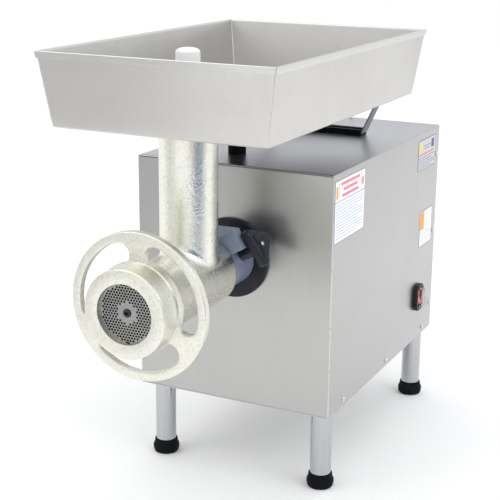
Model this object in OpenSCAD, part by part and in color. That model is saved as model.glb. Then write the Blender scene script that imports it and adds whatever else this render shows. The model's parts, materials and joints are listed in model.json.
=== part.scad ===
// Counter-top electric meat grinder with a removable size 32 head.
// +Z is up, the outlet faces -Y and the switch is on the +X side.
// The origin lies on the surface it stands on, under the middle of its bounding box.
// Depths (d) are measured backwards from the front face of the cabinet.

/* [Cabinet] */
// Width of the sheet steel cabinet
cab_w = 334; // [320:1:345]
// Depth of the cabinet, front to back
cab_d = 496; // [470:1:520]
// Height of the cabinet itself
cab_h = 383; // [375:1:395]
// Height of the cabinet's underside over the worktop
leg_clear = 132; // [120:1:145]
// Thickness of the cabinet sheet
sheet = 1.5; // [1:0.1:2]

/* [Legs] */
// Outer radius of a leg tube
leg_r = 17; // [14:0.5:19]
// Distance of the leg axes from the centre plane
leg_x = 142; // [130:1:145]
// Distance of the front legs behind the front face
leg_front = 35; // [30:1:60]
// Distance of the rear legs ahead of the rear face
leg_rear = 26; // [24:1:60]
// Widest radius of a rubber foot
foot_r = 22; // [20:0.5:25]

/* [Grinder head] */
// Height of the grinding axis
axis_z = 370; // [365:1:375]
// Outer radius of the barrel
barrel_r = 50; // [49:0.5:52]
// Radius of the bore that the auger turns in
bore_r = 42; // [41:0.5:43]
// Distance of the feed column's axis ahead of the cabinet
column_d = 135; // [130:1:140]
// Outer radius of the feed column
column_r = 42; // [40:0.5:44]
// Radius of the feed throat
throat_r = 34; // [32:0.5:35]
// Radius of the perforated plate
plate_r = 49.5; // [49:0.1:49.6]
// Thickness of the perforated plate
plate_t = 12; // [10:0.5:13]
// Diameter of one hole of the plate
plate_hole = 3.2; // [3:0.1:3.4]
// Distance between neighbouring holes of the plate
plate_pitch = 4.4; // [4.2:0.1:6]

/* [Ring nut] */
// Outer radius of the ring nut
ring_r = 62.5; // [61:0.5:66]
// Length of the ring nut
ring_len = 54; // [50:1:56]
// Radius of the outlet opening
outlet_r = 42; // [40:0.5:44]
// Outer radius of the hand wheel
wheel_r = 105; // [100:1:112]
// Lead of the ring nut's thread
ring_lead = 5; // [4:0.5:6]

/* [Tray] */
// Width of the tray over its rim
tray_w = 366; // [360:1:380]
// Length of the tray over its rim
tray_l = 584; // [560:1:600]
// Height of the tray
tray_h = 107; // [90:1:120]
// How far the side walls lean out
tray_lean = 16; // [10:1:25]
// Distance of the tray's front rim ahead of the cabinet
tray_front = 238; // [230:1:245]

/* [Gear train] */
// Module of the fast gear pair
mod_fast = 1.5; // [1.5:0.25:1.5]
// Teeth of the motor pinion
teeth_motor = 20; // [20:1:20]
// Teeth of the countershaft gear
teeth_counter = 60; // [60:1:60]
// Module of the slow gear pair
mod_slow = 2.5; // [2.5:0.25:2.5]
// Teeth of the countershaft pinion
teeth_pinion = 18; // [18:1:18]
// Teeth of the output gear
teeth_output = 45; // [45:1:45]
// Play between meshing teeth
backlash = 0.3; // [0.2:0.05:0.4]

/* [Hidden] */

round_fn = 96;
small_fn = 32;
hull_fn = 32;
gap = 0.3;        // between pieces that move past each other
fit = 0.05;       // radial clearance of a running fit
seat = 0.5;       // between sheet parts that lie side by side

base_z = leg_clear;
top_z = base_z + cab_h;
half_w = cab_w / 2;
gland_len = 22;

// Stations along the grinding axis, as depths behind the cabinet's front face
neck_r = 40;
neck_front = -78;
spigot_r = 31;
spigot_end = -20;
ring_front = -312;
lip_t = 9;
plate_face = ring_front + lip_t;
plate_back = plate_face + plate_t;
knife_t = 11.7;
knife_back = plate_back + gap + knife_t;
thread_r = 56;
thread_back = -250;
barrel_mouth = plate_face + 3;
auger_back = -90;
socket_front = -16;
socket_depth = 32;
tang = 18;

// The frame's Y of the cabinet's front face, which centres the bounding box
cab_y = -(cab_d + gland_len + ring_front) / 2;

// Gear centres, one above the other
slow_centre = mod_slow * (teeth_pinion + teeth_output) / 2;
fast_centre = mod_fast * (teeth_motor + teeth_counter) / 2;
counter_z = axis_z - slow_centre;
motor_z = counter_z - fast_centre;

// Gearbox stations
cover_front = sheet + 0.5;
cover_back = 14;
box_back = 104;
wall = 9;
cavity_back = 86;
slow_a = 34;
slow_b = 60;
fast_a = 66;
fast_b = 82;

// Motor stations
motor_r = 76;
bell_t = 14;
stack_a = 150;
stack_b = 240;
frame_a = box_back + bell_t;
frame_b = 275;
rear_bell_b = frame_b + bell_t;
fan_b = 316;
cover_b = 332;
motor_shaft_r = 12.5;

// Clamp screw in the neck
clamp_tilt = 30;
clamp_d = -45;
knob_r = 34;

// Switch on the right-hand side
switch_d = 408;
switch_z = 213;

tray_z = 592;
tray_end = tray_l - tray_front;

// ---------- helpers ----------

// Cylinder along Y between two depths
module rod_y(r, a, b, x = 0, z = axis_z, fn = round_fn)
    translate([x, cab_y + a, z]) rotate([-90, 0, 0]) cylinder(r = r, h = b - a, $fn = fn);

// Turned piece about an axis along Y; its outline is given as [radius, depth] points
module turned_y(points, x = 0, z = axis_z, fn = round_fn)
    translate([x, cab_y, z]) rotate([-90, 0, 0]) rotate_extrude($fn = fn) polygon(points);

// Outline in X and Z, extruded between two depths
module slab_y(a, b)
    translate([0, cab_y + b, 0]) rotate([90, 0, 0]) linear_extrude(b - a) children();

// Box given by its limits in X, depth and Z
module block(x, d, z)
    translate([x[0], cab_y + d[0], z[0]]) cube([x[1] - x[0], d[1] - d[0], z[1] - z[0]]);

// Children drawn about the grinding axis with X along the clamp screw
module clamp_frame()
    translate([0, cab_y + clamp_d, axis_z]) rotate([0, -clamp_tilt, 0]) children();

// Hexagonal prism along Y
module hex_y(across, a, b, x, z)
    translate([x, cab_y + a, z]) rotate([-90, 0, 0]) cylinder(d = across / cos(30), h = b - a, $fn = 6);

// Square outline with rounded upper corners, standing on z0
module round_top(w, z0, z1, r) {
    translate([-w / 2, z0]) square([w, z1 - r - z0]);
    translate([-w / 2 + r, z0]) square([w - 2 * r, z1 - z0]);
    for (side = [-1, 1])
        translate([side * (w / 2 - r), z1 - r]) circle(r = r, $fn = small_fn);
}

// ---------- involute gears ----------

function involute(a) = tan(a) * 180 / PI - a;
function polar(r, a) = [r * cos(a), r * sin(a)];
function half_angle(r, rb, at_pitch) = at_pitch + involute(20) - involute(acos(min(1, rb / r)));

function tooth(m, z, middle, steps = 4) =
    let (rp = m * z / 2, rb = rp * cos(20), ra = rp + m, rf = rp - 1.25 * m,
         at_pitch = 90 / z - backlash / 4 / rp * 180 / PI,
         start = max(rb, rf))
    concat(
        [polar(rf, middle - half_angle(start, rb, at_pitch))],
        [for (i = [0 : steps]) let (r = start + (ra - start) * i / steps)
            polar(r, middle - half_angle(r, rb, at_pitch))],
        [for (i = [steps : -1 : 0]) let (r = start + (ra - start) * i / steps)
            polar(r, middle + half_angle(r, rb, at_pitch))],
        [polar(rf, middle + half_angle(start, rb, at_pitch))]);

// Spur gear about an axis along Y, with one tooth pointing at the angle first
module spur_gear(m, z, first, a, b, at_z, hole_r)
    translate([0, 0, at_z]) slab_y(a, b) difference() {
        polygon([for (i = [0 : z - 1]) each tooth(m, z, first + i * 360 / z)]);
        if (hole_r > 0) circle(r = hole_r, $fn = round_fn);
    }

// Deep groove ball bearing: two rings and the balls between them
module bearing(inner, outer, a, b, z, balls) {
    mid = (inner + outer) / 2;
    ball = (outer - inner) * 0.29;
    land = (outer - inner) * 0.28;
    centre = (a + b) / 2;
    difference() {
        rod_y(outer, a, b, z = z);
        rod_y(outer - land, a - 1, b + 1, z = z);
        race(mid, ball + fit, centre, z);
    }
    difference() {
        rod_y(inner + land, a, b, z = z);
        rod_y(inner, a - 1, b + 1, z = z);
        race(mid, ball + fit, centre, z);
    }
    for (i = [0 : balls - 1])
        translate([0, cab_y + centre, z]) rotate([0, i * 360 / balls, 0])
            translate([mid, 0, 0]) sphere(r = ball, $fn = small_fn);
}

// Ring-shaped groove that the balls of a bearing run in
module race(mid, r, centre, z)
    translate([0, cab_y + centre, z]) rotate([-90, 0, 0]) rotate_extrude($fn = round_fn)
        translate([mid, 0]) circle(r = r, $fn = small_fn);

// ---------- cabinet ----------

screw_inset = 10;
side_screws = [for (d = [62, 256, 450]) [d, base_z + screw_inset]];
rear_screws = [for (z = [180, 321, 463]) [cab_d - screw_inset, z]];

// Holes for the cabinet's screws, through both sides and the top
module screw_holes() {
    for (p = concat(side_screws, rear_screws))
        translate([-half_w - 1, cab_y + p[0], p[1]]) rotate([0, 90, 0])
            cylinder(r = 2.6, h = cab_w + 2, $fn = small_fn);
    translate([0, cab_y + cab_d - screw_inset, top_z - 12]) cylinder(r = 2.6, h = 20, $fn = small_fn);
}

module cover_wrap() color("silver") difference() {
    slab_y(0, cab_d) difference() {
        round_top(cab_w, base_z, top_z, 3);
        round_top(cab_w - 2 * sheet, base_z - 1, top_z - sheet, 1.5);
    }
    screw_holes();
    block([half_w - 5, half_w + 5], [switch_d - 13, switch_d + 13], [switch_z - 19, switch_z + 19]);
}

flange_in = half_w - sheet - seat;

// Flat panel with returned edges that lie inside the wrap
module flanged_panel(a, b, turn) {
    low = base_z + sheet + seat;
    high = top_z - sheet - seat;
    deep = turn > 0 ? [b - 0.1, b + 16] : [a - 16, a + 0.1];
    block([-flange_in, flange_in], [a, b], [low, high]);
    for (side = [0, 1])
        mirror([side, 0, 0]) block([flange_in - sheet, flange_in], deep, [low + 25, high]);
    block([-flange_in, flange_in], deep, [high - sheet, high]);
}

module front_panel() color("silver") difference() {
    flanged_panel(0, sheet, 1);
    rod_y(neck_r + 1, -1, sheet + 1);
}

gland_x = -95;
gland_z = 185;

module rear_panel() color("silver") difference() {
    flanged_panel(cab_d - sheet, cab_d, -1);
    screw_holes();
    rod_y(10.3, cab_d - 5, cab_d + 5, x = gland_x, z = gland_z, fn = small_fn);
    for (row = [0 : 7])
        block([-60, 60], [cab_d - 5, cab_d + 1], [200 + row * 14, 205 + row * 14]);
}

module base_pan() color("lightgray") difference() {
    union() {
        block([-flange_in, flange_in], [0, cab_d], [base_z, base_z + sheet]);
        for (side = [0, 1])
            mirror([side, 0, 0])
                block([flange_in - sheet, flange_in], [18, cab_d - 18], [base_z + sheet - 0.1, base_z + 20]);
    }
    screw_holes();
    at_legs() cylinder(r = 5.3, h = 300, center = true, $fn = small_fn);
    for (row = [0 : 6])
        block([-40, 40], [150 + row * 28, 158 + row * 28], [base_z - 1, base_z + 3]);
}

// Pan-head screw pointing out along +X from the right-hand side
module side_screw() {
    rotate([0, 90, 0]) rotate_extrude($fn = small_fn)
        polygon([[0, -6], [2.4, -6], [2.4, 0], [4.6, 0], [4.6, 1], [3.6, 2.6], [1.6, 3.1], [1.6, 1.4], [0, 1.4]]);
}

module cabinet_screws() color("gainsboro") {
    for (side = [0, 1], p = concat(side_screws, rear_screws))
        mirror([side, 0, 0]) translate([half_w, cab_y + p[0], p[1]]) side_screw();
    translate([0, cab_y + cab_d - screw_inset, top_z]) rotate([0, -90, 0]) side_screw();
}

// ---------- legs ----------

module at_legs()
    for (x = [-leg_x, leg_x], d = [leg_front, cab_d - leg_rear]) translate([x, cab_y + d, 0]) children();

foot_h = 24;
foot_floor = 8;

module leg_tubes() color("whitesmoke") at_legs() difference() {
    translate([0, 0, foot_floor]) cylinder(r = leg_r, h = base_z - foot_floor, $fn = round_fn);
    translate([0, 0, foot_floor - 1]) cylinder(r = leg_r - 1.5, h = base_z, $fn = round_fn);
}

module leg_studs() color("gray") at_legs() {
    translate([0, 0, base_z - 22]) cylinder(r = leg_r - 1.5, h = 22, $fn = round_fn);
    translate([0, 0, base_z - 0.1]) cylinder(r = 5, h = 22, $fn = small_fn);
}

module leg_nuts() color("silver") at_legs() difference() {
    union() {
        translate([0, 0, base_z + sheet]) cylinder(r = 14, h = 2.5, $fn = round_fn);
        translate([0, 0, base_z + sheet + 2.4]) cylinder(d = 17 / cos(30), h = 8, $fn = 6);
    }
    cylinder(r = 5, h = 300, $fn = small_fn);
}

module leg_feet() color("black") at_legs() rotate_extrude($fn = round_fn)
    polygon([[0, 0], [foot_r - 3.5, 0], [foot_r - 1, 3], [foot_r, 9], [foot_r - 0.4, 13], [foot_r - 2.2, 16],
        [foot_r - 3, foot_h - 1], [foot_r - 3.8, foot_h], [leg_r, foot_h], [leg_r, foot_floor], [0, foot_floor]]);

rail_top = 165;

module chassis_rails() color("dimgray") for (side = [0, 1])
    mirror([side, 0, 0]) difference() {
        block([48, 78], [20, 420], [base_z + sheet, rail_top]);
        block([51, 79], [19, 421], [base_z + sheet + 3, rail_top - 3]);
    }

// ---------- labels ----------

label_t = 0.4;
// Depths and heights that each blank label covers
labels = [[[4, 124], [409, 505]], [[382, 474], [448, 502]], [[407, 473], [305, 370]]];

module side_labels() color("white") for (p = labels) block([half_w, half_w + label_t], p[0], p[1]);

// ---------- switch ----------

bezel_t = 8;
bezel_w = 36;
bezel_h = 47;
rocker_w = 15;

// Children with X pointing out of the panel from the middle of the switch
module switch_frame() translate([half_w, cab_y + switch_d, switch_z]) children();

// Rectangle in Y and Z with cut corners, extruded along X
module cut_corners(w, h, c, x0, x1)
    translate([x0, 0, 0]) rotate([90, 0, 90]) linear_extrude(x1 - x0)
        polygon([[-w / 2 + c, -h / 2], [w / 2 - c, -h / 2], [w / 2, -h / 2 + c], [w / 2, h / 2 - c],
            [w / 2 - c, h / 2], [-w / 2 + c, h / 2], [-w / 2, h / 2 - c], [-w / 2, -h / 2 + c]]);

module switch_bezel() color("black") switch_frame() difference() {
    cut_corners(bezel_w, bezel_h, 8, 0, bezel_t);
    cut_corners(bezel_w - 8, bezel_h - 8, 6, -1, bezel_t + 1);
}

module switch_body() color("darkslategray") switch_frame() difference() {
    translate([-32, -12, -18]) cube([32, 24, 36]);
    translate([-12, -rocker_w / 2 - gap, -14.2]) cube([30, rocker_w + 2 * gap, 28.4]);
    rotate([90, 0, 0]) cylinder(r = 1.5 + fit, h = 21, center = true, $fn = small_fn);
}

rocker_tilt = 10;

module switch_rocker() color("red") switch_frame() rotate([0, -rocker_tilt, 0]) {
    translate([0, rocker_w / 2, 0]) rotate([90, 0, 0]) linear_extrude(rocker_w)
        polygon([[-5, -6], [-1, -12.5], [5.5, -12.5], [3.5, 0], [5.5, 12.5], [-1, 12.5], [-5, 6]]);
    rotate([90, 0, 0]) cylinder(r = 1.5, h = 20, center = true, $fn = small_fn);
}

module switch_boot() color([0.9, 0.95, 1, 0.4]) switch_frame() difference() {
    union() {
        cut_corners(bezel_w - 8.4, bezel_h - 8.4, 6, 3.2, 9);
        cut_corners(bezel_w - 12, bezel_h - 12, 5, 8.9, 13.5);
    }
    cut_corners(bezel_w - 14, bezel_h - 14, 4, 3, 12);
}

// ---------- mains inlet ----------

module cable_gland() color("black") difference() {
    union() {
        rod_y(10, cab_d - 12, cab_d + 1, x = gland_x, z = gland_z, fn = small_fn);
        hex_y(24, cab_d, cab_d + 7, gland_x, gland_z);
        turned_y([[0, cab_d + 6.9], [11, cab_d + 6.9], [11, cab_d + 15], [8, cab_d + gland_len],
            [0, cab_d + gland_len]], x = gland_x, z = gland_z, fn = small_fn);
    }
    rod_y(5, cab_d - 13, cab_d + gland_len + 1, x = gland_x, z = gland_z, fn = small_fn);
}

module gland_locknut() color("black") difference() {
    hex_y(24, cab_d - sheet - 6, cab_d - sheet, gland_x, gland_z);
    rod_y(10, cab_d - 20, cab_d, x = gland_x, z = gland_z, fn = small_fn);
}

// ---------- gearbox ----------

module neck_seal() color("black")
    turned_y([[neck_r + seat, -6], [61.5, -6], [63, -4.5], [63, 0], [neck_r + seat, 0]]);

// Pear-shaped outline around the three gear axes, drawn in X and Z
module gearbox_outline(inset) hull() {
    translate([0, axis_z]) circle(r = 73 - inset, $fn = hull_fn);
    translate([0, motor_z]) circle(r = 50 - inset, $fn = hull_fn);
}

box_bolts = [[62, 412], [-62, 412], [70, 358], [-70, 358], [61, 290], [-61, 290],
    [44, 205], [-44, 205], [28, 437], [-28, 437]];

// Bolt bosses or bolt holes at the rim of the gearbox
module at_box_bolts() for (p = box_bolts) translate([p[0], p[1]]) children();

front_bearing_r = 40;
bolt_head = 8.3;

// Lug beside the clamp screw, its top sloping up from the tilted front edge to a level rear edge
module clamp_lug() clamp_frame() translate([0, neck_front - clamp_d + 20, 0]) rotate([90, 0, 0]) hull() {
    translate([0, 0, 18]) linear_extrude(1) translate([12, 5]) square([56, 31]);
    linear_extrude(1) polygon([[12, 5], [68, 5], [68, 36], [37, 53], [12, 53]]);
}

module gearbox_cover() color("slategray") difference() {
    union() {
        slab_y(cover_front, cover_back) gearbox_outline(0);
        slab_y(cover_front, cover_back) at_box_bolts() circle(r = 10, $fn = small_fn);
        rod_y(48, cover_back - 0.1, 26);
        rod_y(30, cover_back - 0.1, cover_back + 14, z = counter_z);
        turned_y([[0, cover_front + 1], [neck_r, cover_front + 1], [neck_r, neck_front + 2],
            [neck_r - 2, neck_front], [0, neck_front]]);
        clamp_frame() rotate([0, 90, 0]) translate([0, 0, 30]) cylinder(r = 14, h = 14, $fn = small_fn);
        clamp_lug();
    }
    rod_y(spigot_r + fit, neck_front - 1, spigot_end + 2);
    rod_y(23, neck_front, cover_back + 30);
    rod_y(27.5, -2, 8);
    rod_y(front_bearing_r, 8, 40);
    rod_y(23.5, cover_back, 80, z = counter_z);
    slab_y(cover_front - 1, cover_back + 1) at_box_bolts() circle(r = 4.3, $fn = small_fn);
    slab_y(cover_front - 1, cover_front + bolt_head) at_box_bolts() circle(r = 7, $fn = small_fn);
    clamp_frame() rotate([0, 90, 0]) cylinder(r = 6 + fit, h = 80, $fn = small_fn);
}

module gearbox_housing() color("slategray") difference() {
    union() {
        slab_y(cover_back, box_back) gearbox_outline(0);
        slab_y(cover_back, box_back) at_box_bolts() circle(r = 10, $fn = small_fn);
        for (side = [0, 1]) mirror([side, 0, 0])
            block([34, 74], [30, 98], [rail_top, 214]);
    }
    slab_y(cover_back - 1, cavity_back) gearbox_outline(wall);
    rod_y(31, cavity_back - 1, cavity_back + 16);
    rod_y(23.5, cavity_back - 1, cavity_back + 14, z = counter_z);
    rod_y(30, cavity_back - 1, box_back + 1, z = motor_z);
    slab_y(cover_back - 1, 60) at_box_bolts() circle(r = 4, $fn = small_fn);
    translate([0, cab_y + 50, axis_z]) cylinder(r = 7, h = 90, $fn = small_fn);
}

module gearbox_bolts() color("gray") for (p = box_bolts) difference() {
    union() {
        rod_y(4, cover_front + 1, 45, x = p[0], z = p[1], fn = small_fn);
        rod_y(6.5, cover_front + 0.3, cover_front + bolt_head, x = p[0], z = p[1], fn = small_fn);
    }
    rod_y(3.4, cover_front - 1, cover_front + 5, x = p[0], z = p[1], fn = 6);
}

module oil_plugs() color("darkgoldenrod") translate([0, cab_y + 50, axis_z]) {
    translate([0, 0, 62]) cylinder(r = 7, h = 12, $fn = small_fn);
    translate([0, 0, 73]) cylinder(d = 19 / cos(30), h = 7, $fn = 6);
}

// ---------- drive ----------

out_r = 20;
key_w = 12;

module output_shaft() color("silver") difference() {
    turned_y([[0, socket_front], [out_r - 1, socket_front], [out_r, socket_front + 1], [out_r, slow_b + 3],
        [15, slow_b + 3], [15, cavity_back + 15], [0, cavity_back + 15]]);
    block([-tang / 2 - 0.2, tang / 2 + 0.2], [socket_front - 1, socket_front + socket_depth],
        [axis_z - tang / 2 - 0.2, axis_z + tang / 2 + 0.2]);
    block([-key_w / 2, key_w / 2], [slow_a, slow_b], [axis_z + out_r - 4.5, axis_z + out_r + 5]);
}

module output_gear() color("darkgray") difference() {
    union() {
        spur_gear(mod_slow, teeth_output, -90, slow_a, slow_b, axis_z, 0);
        rod_y(32, slow_a - 3, slow_b + 3);
    }
    rod_y(out_r, slow_a - 5, slow_b + 5);
    block([-key_w / 2, key_w / 2], [slow_a - 5, slow_b + 5], [axis_z, axis_z + out_r + 3.5]);
    for (i = [0 : 5]) rotate_about_axis(30 + i * 60) rod_y(6.5, slow_a - 5, slow_b + 5, x = 42, z = 0);
}

// Children turned about the grinding axis; their z is measured from it
module rotate_about_axis(a) translate([0, 0, axis_z]) rotate([0, a, 0]) children();

module output_key() color("gray")
    block([-key_w / 2, key_w / 2], [slow_a, slow_b], [axis_z + out_r - 4.5, axis_z + out_r + 3.5]);

module output_front_bearing() color("silver") bearing(out_r + fit, front_bearing_r, 8, 26, axis_z, 9);
module output_rear_bearing() color("silver")
    bearing(15 + fit, 31, cavity_back, cavity_back + 16, axis_z, 9);

module output_oil_seal() color("black") difference() {
    rod_y(27.5, -2, 6);
    rod_y(out_r + fit, -3, 9);
    turned_y([[out_r + 2, 1], [25.5, 1], [25.5, 7], [out_r + 2, 7]]);
}

counter_r = 10;

module counter_shaft() color("silver") {
    spur_gear(mod_slow, teeth_pinion, 90 + 180 / teeth_pinion, slow_a - 1, slow_b + 1, counter_z, 0);
    turned_y([[0, 16], [counter_r, 16], [counter_r, slow_b + 0.9], [14, slow_b + 0.9], [14, fast_b + 1],
        [counter_r, fast_b + 1], [counter_r, cavity_back + 13], [0, cavity_back + 13]], z = counter_z);
}

module counter_gear() color("darkgray") difference() {
    spur_gear(mod_fast, teeth_counter, -90, fast_a, fast_b, counter_z, 14);
    turned_y([[20, fast_a - 1], [38, fast_a - 1], [38, fast_a + 4], [20, fast_a + 4]], z = counter_z);
}

module counter_bearings() color("silver") {
    bearing(counter_r + fit, 23.5, cover_back, cover_back + 14, counter_z, 8);
    bearing(counter_r + fit, 23.5, cavity_back, cavity_back + 14, counter_z, 8);
}

// ---------- motor ----------

module motor_shaft() color("silver") {
    spur_gear(mod_fast, teeth_motor, 90 + 180 / teeth_motor, fast_a - 1, fast_b + 1, motor_z, 0);
    turned_y([[0, fast_b + 0.9], [10.5, fast_b + 0.9], [10.5, cavity_back + 6],
        [motor_shaft_r, cavity_back + 8], [motor_shaft_r, rear_bell_b + 4],
        [8, rear_bell_b + 4], [8, fan_b + 2], [0, fan_b + 2]], z = motor_z);
}

module motor_rotor() color("dimgray") difference() {
    rod_y(46, stack_a, stack_b, z = motor_z);
    rod_y(motor_shaft_r, stack_a - 1, stack_b + 1, z = motor_z);
}

stator_r = 69;

module motor_stator() color("gray") slab_y(stack_a, stack_b) translate([0, motor_z]) difference() {
    circle(r = stator_r, $fn = round_fn);
    circle(r = 46.6, $fn = round_fn);
    for (i = [0 : 23]) rotate(i * 15) translate([50, -2.2]) square([10, 4.4]);
}

module motor_windings() color("peru") for (d = [stack_a - 9, stack_b + 9])
    translate([0, cab_y + d, motor_z]) rotate([-90, 0, 0]) rotate_extrude($fn = round_fn)
        translate([56, 0]) circle(r = 8.6, $fn = small_fn);

module motor_frame() color("steelblue") slab_y(frame_a, frame_b) translate([0, motor_z]) difference() {
    union() {
        circle(r = stator_r + 4, $fn = round_fn);
        for (i = [0 : 23]) rotate(7.5 + i * 15) translate([stator_r, -1]) square([motor_r - stator_r, 2]);
    }
    circle(r = stator_r, $fn = round_fn);
}

module motor_front_bell() color("steelblue") difference() {
    union() {
        rod_y(motor_r, box_back, frame_a, z = motor_z);
        rod_y(30, box_back - 6, box_back + 1, z = motor_z);
        rod_y(34, frame_a - 1, frame_a + 8, z = motor_z);
    }
    rod_y(motor_shaft_r + 1.5, box_back - 7, frame_a + 9, z = motor_z);
    rod_y(26, frame_a - 7, frame_a + 9, z = motor_z);
}

module motor_rear_bell() color("steelblue") difference() {
    union() {
        rod_y(motor_r, frame_b, rear_bell_b, z = motor_z);
        rod_y(34, frame_b - 8, frame_b + 1, z = motor_z);
    }
    rod_y(motor_shaft_r + 1.5, frame_b - 9, rear_bell_b + 1, z = motor_z);
    rod_y(26, frame_b - 9, frame_b + 7, z = motor_z);
}

module motor_bearings() color("silver") {
    bearing(motor_shaft_r + fit, 26, frame_a - 7, frame_a + 8, motor_z, 9);
    bearing(motor_shaft_r + fit, 26, frame_b - 8, frame_b + 7, motor_z, 9);
}

module motor_fan() color("black") difference() {
    union() {
        rod_y(18, rear_bell_b + 6, fan_b, z = motor_z);
        rod_y(60, rear_bell_b + 6, rear_bell_b + 8.5, z = motor_z);
        slab_y(rear_bell_b + 8, fan_b) translate([0, motor_z])
            for (i = [0 : 7]) rotate(i * 45) translate([16, -1.5]) square([44, 3]);
    }
    rod_y(8, rear_bell_b, cover_b, z = motor_z);
}

module fan_cover() color("gray") difference() {
    rod_y(motor_r - 1, rear_bell_b, cover_b, z = motor_z);
    rod_y(motor_r - 3, rear_bell_b - 1, cover_b - 2, z = motor_z);
    for (ring = [0 : 2], i = [0 : 11])
        translate([0, 0, motor_z]) rotate([0, i * 30 + ring * 15, 0])
            rod_y(4.5, cover_b - 5, cover_b + 1, x = 22 + ring * 17, z = 0, fn = small_fn);
}

box_z = motor_z + motor_r - 2;

module terminal_box() color("dimgray") difference() {
    block([-38, 38], [165, 235], [box_z, box_z + 40]);
    block([-35, 35], [168, 232], [box_z + 3, box_z + 37]);
    rod_y(motor_r + 0.1, 150, 250, z = motor_z);
}

cap_x = -118;
cap_r = 22;

module capacitor() color("lightgray") {
    rod_y(cap_r, 150, 240, x = cap_x, z = base_z + sheet + 4 + cap_r);
    difference() {
        block([cap_x - 26, cap_x + 26], [185, 205], [base_z + sheet, base_z + sheet + 22]);
        rod_y(cap_r, 180, 210, x = cap_x, z = base_z + sheet + 4 + cap_r);
    }
}

wire_r = 3;
wire_runs = [
    [[gland_x, 482, gland_z], [gland_x, 460, gland_z - 3], [-70, 440, 180], [50, 420, 190],
        [110, 409, 205], [half_w - 33.9, 408, 207]],
    [[half_w - 33.9, 404, 218], [120, 395, 225], [105, 335, 260], [80, 250, 312], [60, 216, 325], [39.2, 212, 326]],
    [[-39.2, 212, 326], [-60, 220, 322], [-105, 260, 260], [cap_x, 275, 200], [cap_x, 265, 168],
        [cap_x, 241.2, 160]]];

wire_sides = 8;

function unit(v) = v / norm(v);
function heading(p, i) = unit(p[min(i + 1, len(p) - 1)] - p[max(i - 1, 0)]);
function wire_ring(p, i) =
    let (t = heading(p, i), u = unit(cross(t, [0.6, -0.2, -0.8])), w = cross(t, u))
    [for (k = [0 : wire_sides - 1]) let (a = 360 * k / wire_sides)
        p[i] + wire_r * (u * cos(a) + w * sin(a))];

// Cable swept along the given points
module cable(p) {
    last = (len(p) - 1) * wire_sides;
    polyhedron(
        points = [for (i = [0 : len(p) - 1]) each wire_ring(p, i)],
        faces = concat(
            [[for (k = [0 : wire_sides - 1]) k]],
            [[for (k = [wire_sides - 1 : -1 : 0]) last + k]],
            [for (i = [0 : len(p) - 2], k = [0 : wire_sides - 1])
                let (a = i * wire_sides + k, b = i * wire_sides + (k + 1) % wire_sides)
                each [[a, a + wire_sides, b + wire_sides], [a, b + wire_sides, b]]]));
}

module wiring() color("black") translate([0, cab_y, 0]) for (run = wire_runs) cable(run);

// ---------- grinder head ----------

collar_r = 39;
collar_z = tray_z + 12;

module head_housing() color("gainsboro") difference() {
    union() {
        turned_y([[0, barrel_mouth], [thread_r - 1, barrel_mouth], [thread_r, barrel_mouth + 1],
            [thread_r, thread_back], [barrel_r, thread_back + 8], [barrel_r, neck_front - 4],
            [barrel_r - 4, neck_front - gap], [spigot_r, neck_front - gap], [spigot_r, spigot_end - 1],
            [spigot_r - 1, spigot_end], [0, spigot_end]]);
        translate([0, cab_y - column_d, axis_z]) {
            cylinder(r = column_r, h = tray_z - axis_z - gap, $fn = round_fn);
            cylinder(r = collar_r, h = collar_z - axis_z, $fn = round_fn);
        }
    }
    turned_y([[0, barrel_mouth - 1], [plate_r + 0.1, barrel_mouth - 1], [plate_r + 0.1, plate_back + gap],
        [bore_r, plate_back + gap], [bore_r, auger_back + 3], [0, auger_back + 3]]);
    rod_y(18, auger_back, spigot_end + 1);
    translate([0, cab_y - column_d, axis_z]) cylinder(r = throat_r, h = 300, $fn = round_fn);
    translate([0, cab_y + barrel_mouth + 5, axis_z - 60]) cylinder(r = 2.5, h = 20, $fn = small_fn);
}

module head_bushing() color("peru") difference() {
    rod_y(18, auger_back + 3, spigot_end);
    rod_y(14 + fit, auger_back, spigot_end + 1);
}

module plate_key_pin() color("gray")
    translate([0, cab_y + barrel_mouth + 5, axis_z - thread_r]) cylinder(r = 2.5, h = 10, $fn = small_fn);

flight_r = bore_r - 0.8;
flight_a = knife_back + 1;
flight_pitch = 52;

module auger() color("gainsboro") difference() {
    union() {
        turned_y([[0, knife_back], [20, knife_back], [22, auger_back - 2], [24, auger_back],
            [14, auger_back], [14, spigot_end + 0.5], [0, spigot_end + 0.5]]);
        block([-tang / 2, tang / 2], [spigot_end, socket_front + socket_depth - 4],
            [axis_z - tang / 2, axis_z + tang / 2]);
        block([-8, 8], [plate_back + gap + 0.5, knife_back + 1], [axis_z - 8, axis_z + 8]);
        translate([0, cab_y + auger_back - 1, axis_z]) rotate([90, 0, 0])
            linear_extrude(auger_back - 1 - flight_a, twist = -360 * (auger_back - 1 - flight_a) / flight_pitch,
                slices = 72)
                polygon(concat([[0, 0]], [for (a = [0 : 12 : 48]) polar(flight_r, a)]));
    }
    rod_y(6, knife_back - 20, knife_back + 40, fn = small_fn);
}

stud_front = plate_face - 2;

module auger_stud() color("silver") difference() {
    turned_y([[0, stud_front], [5, stud_front], [6, stud_front + 1], [6, knife_back + 38], [0, knife_back + 38]],
        fn = small_fn);
    turned_y([[0, stud_front - 1], [2.6, stud_front - 1], [1, stud_front + 3], [0, stud_front + 3]], fn = small_fn);
}

module thrust_washer() color("sienna") difference() {
    rod_y(24, auger_back, auger_back + 2.6);
    rod_y(14, auger_back - 1, auger_back + 4);
}

knife_r = bore_r - 1.5;

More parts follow.
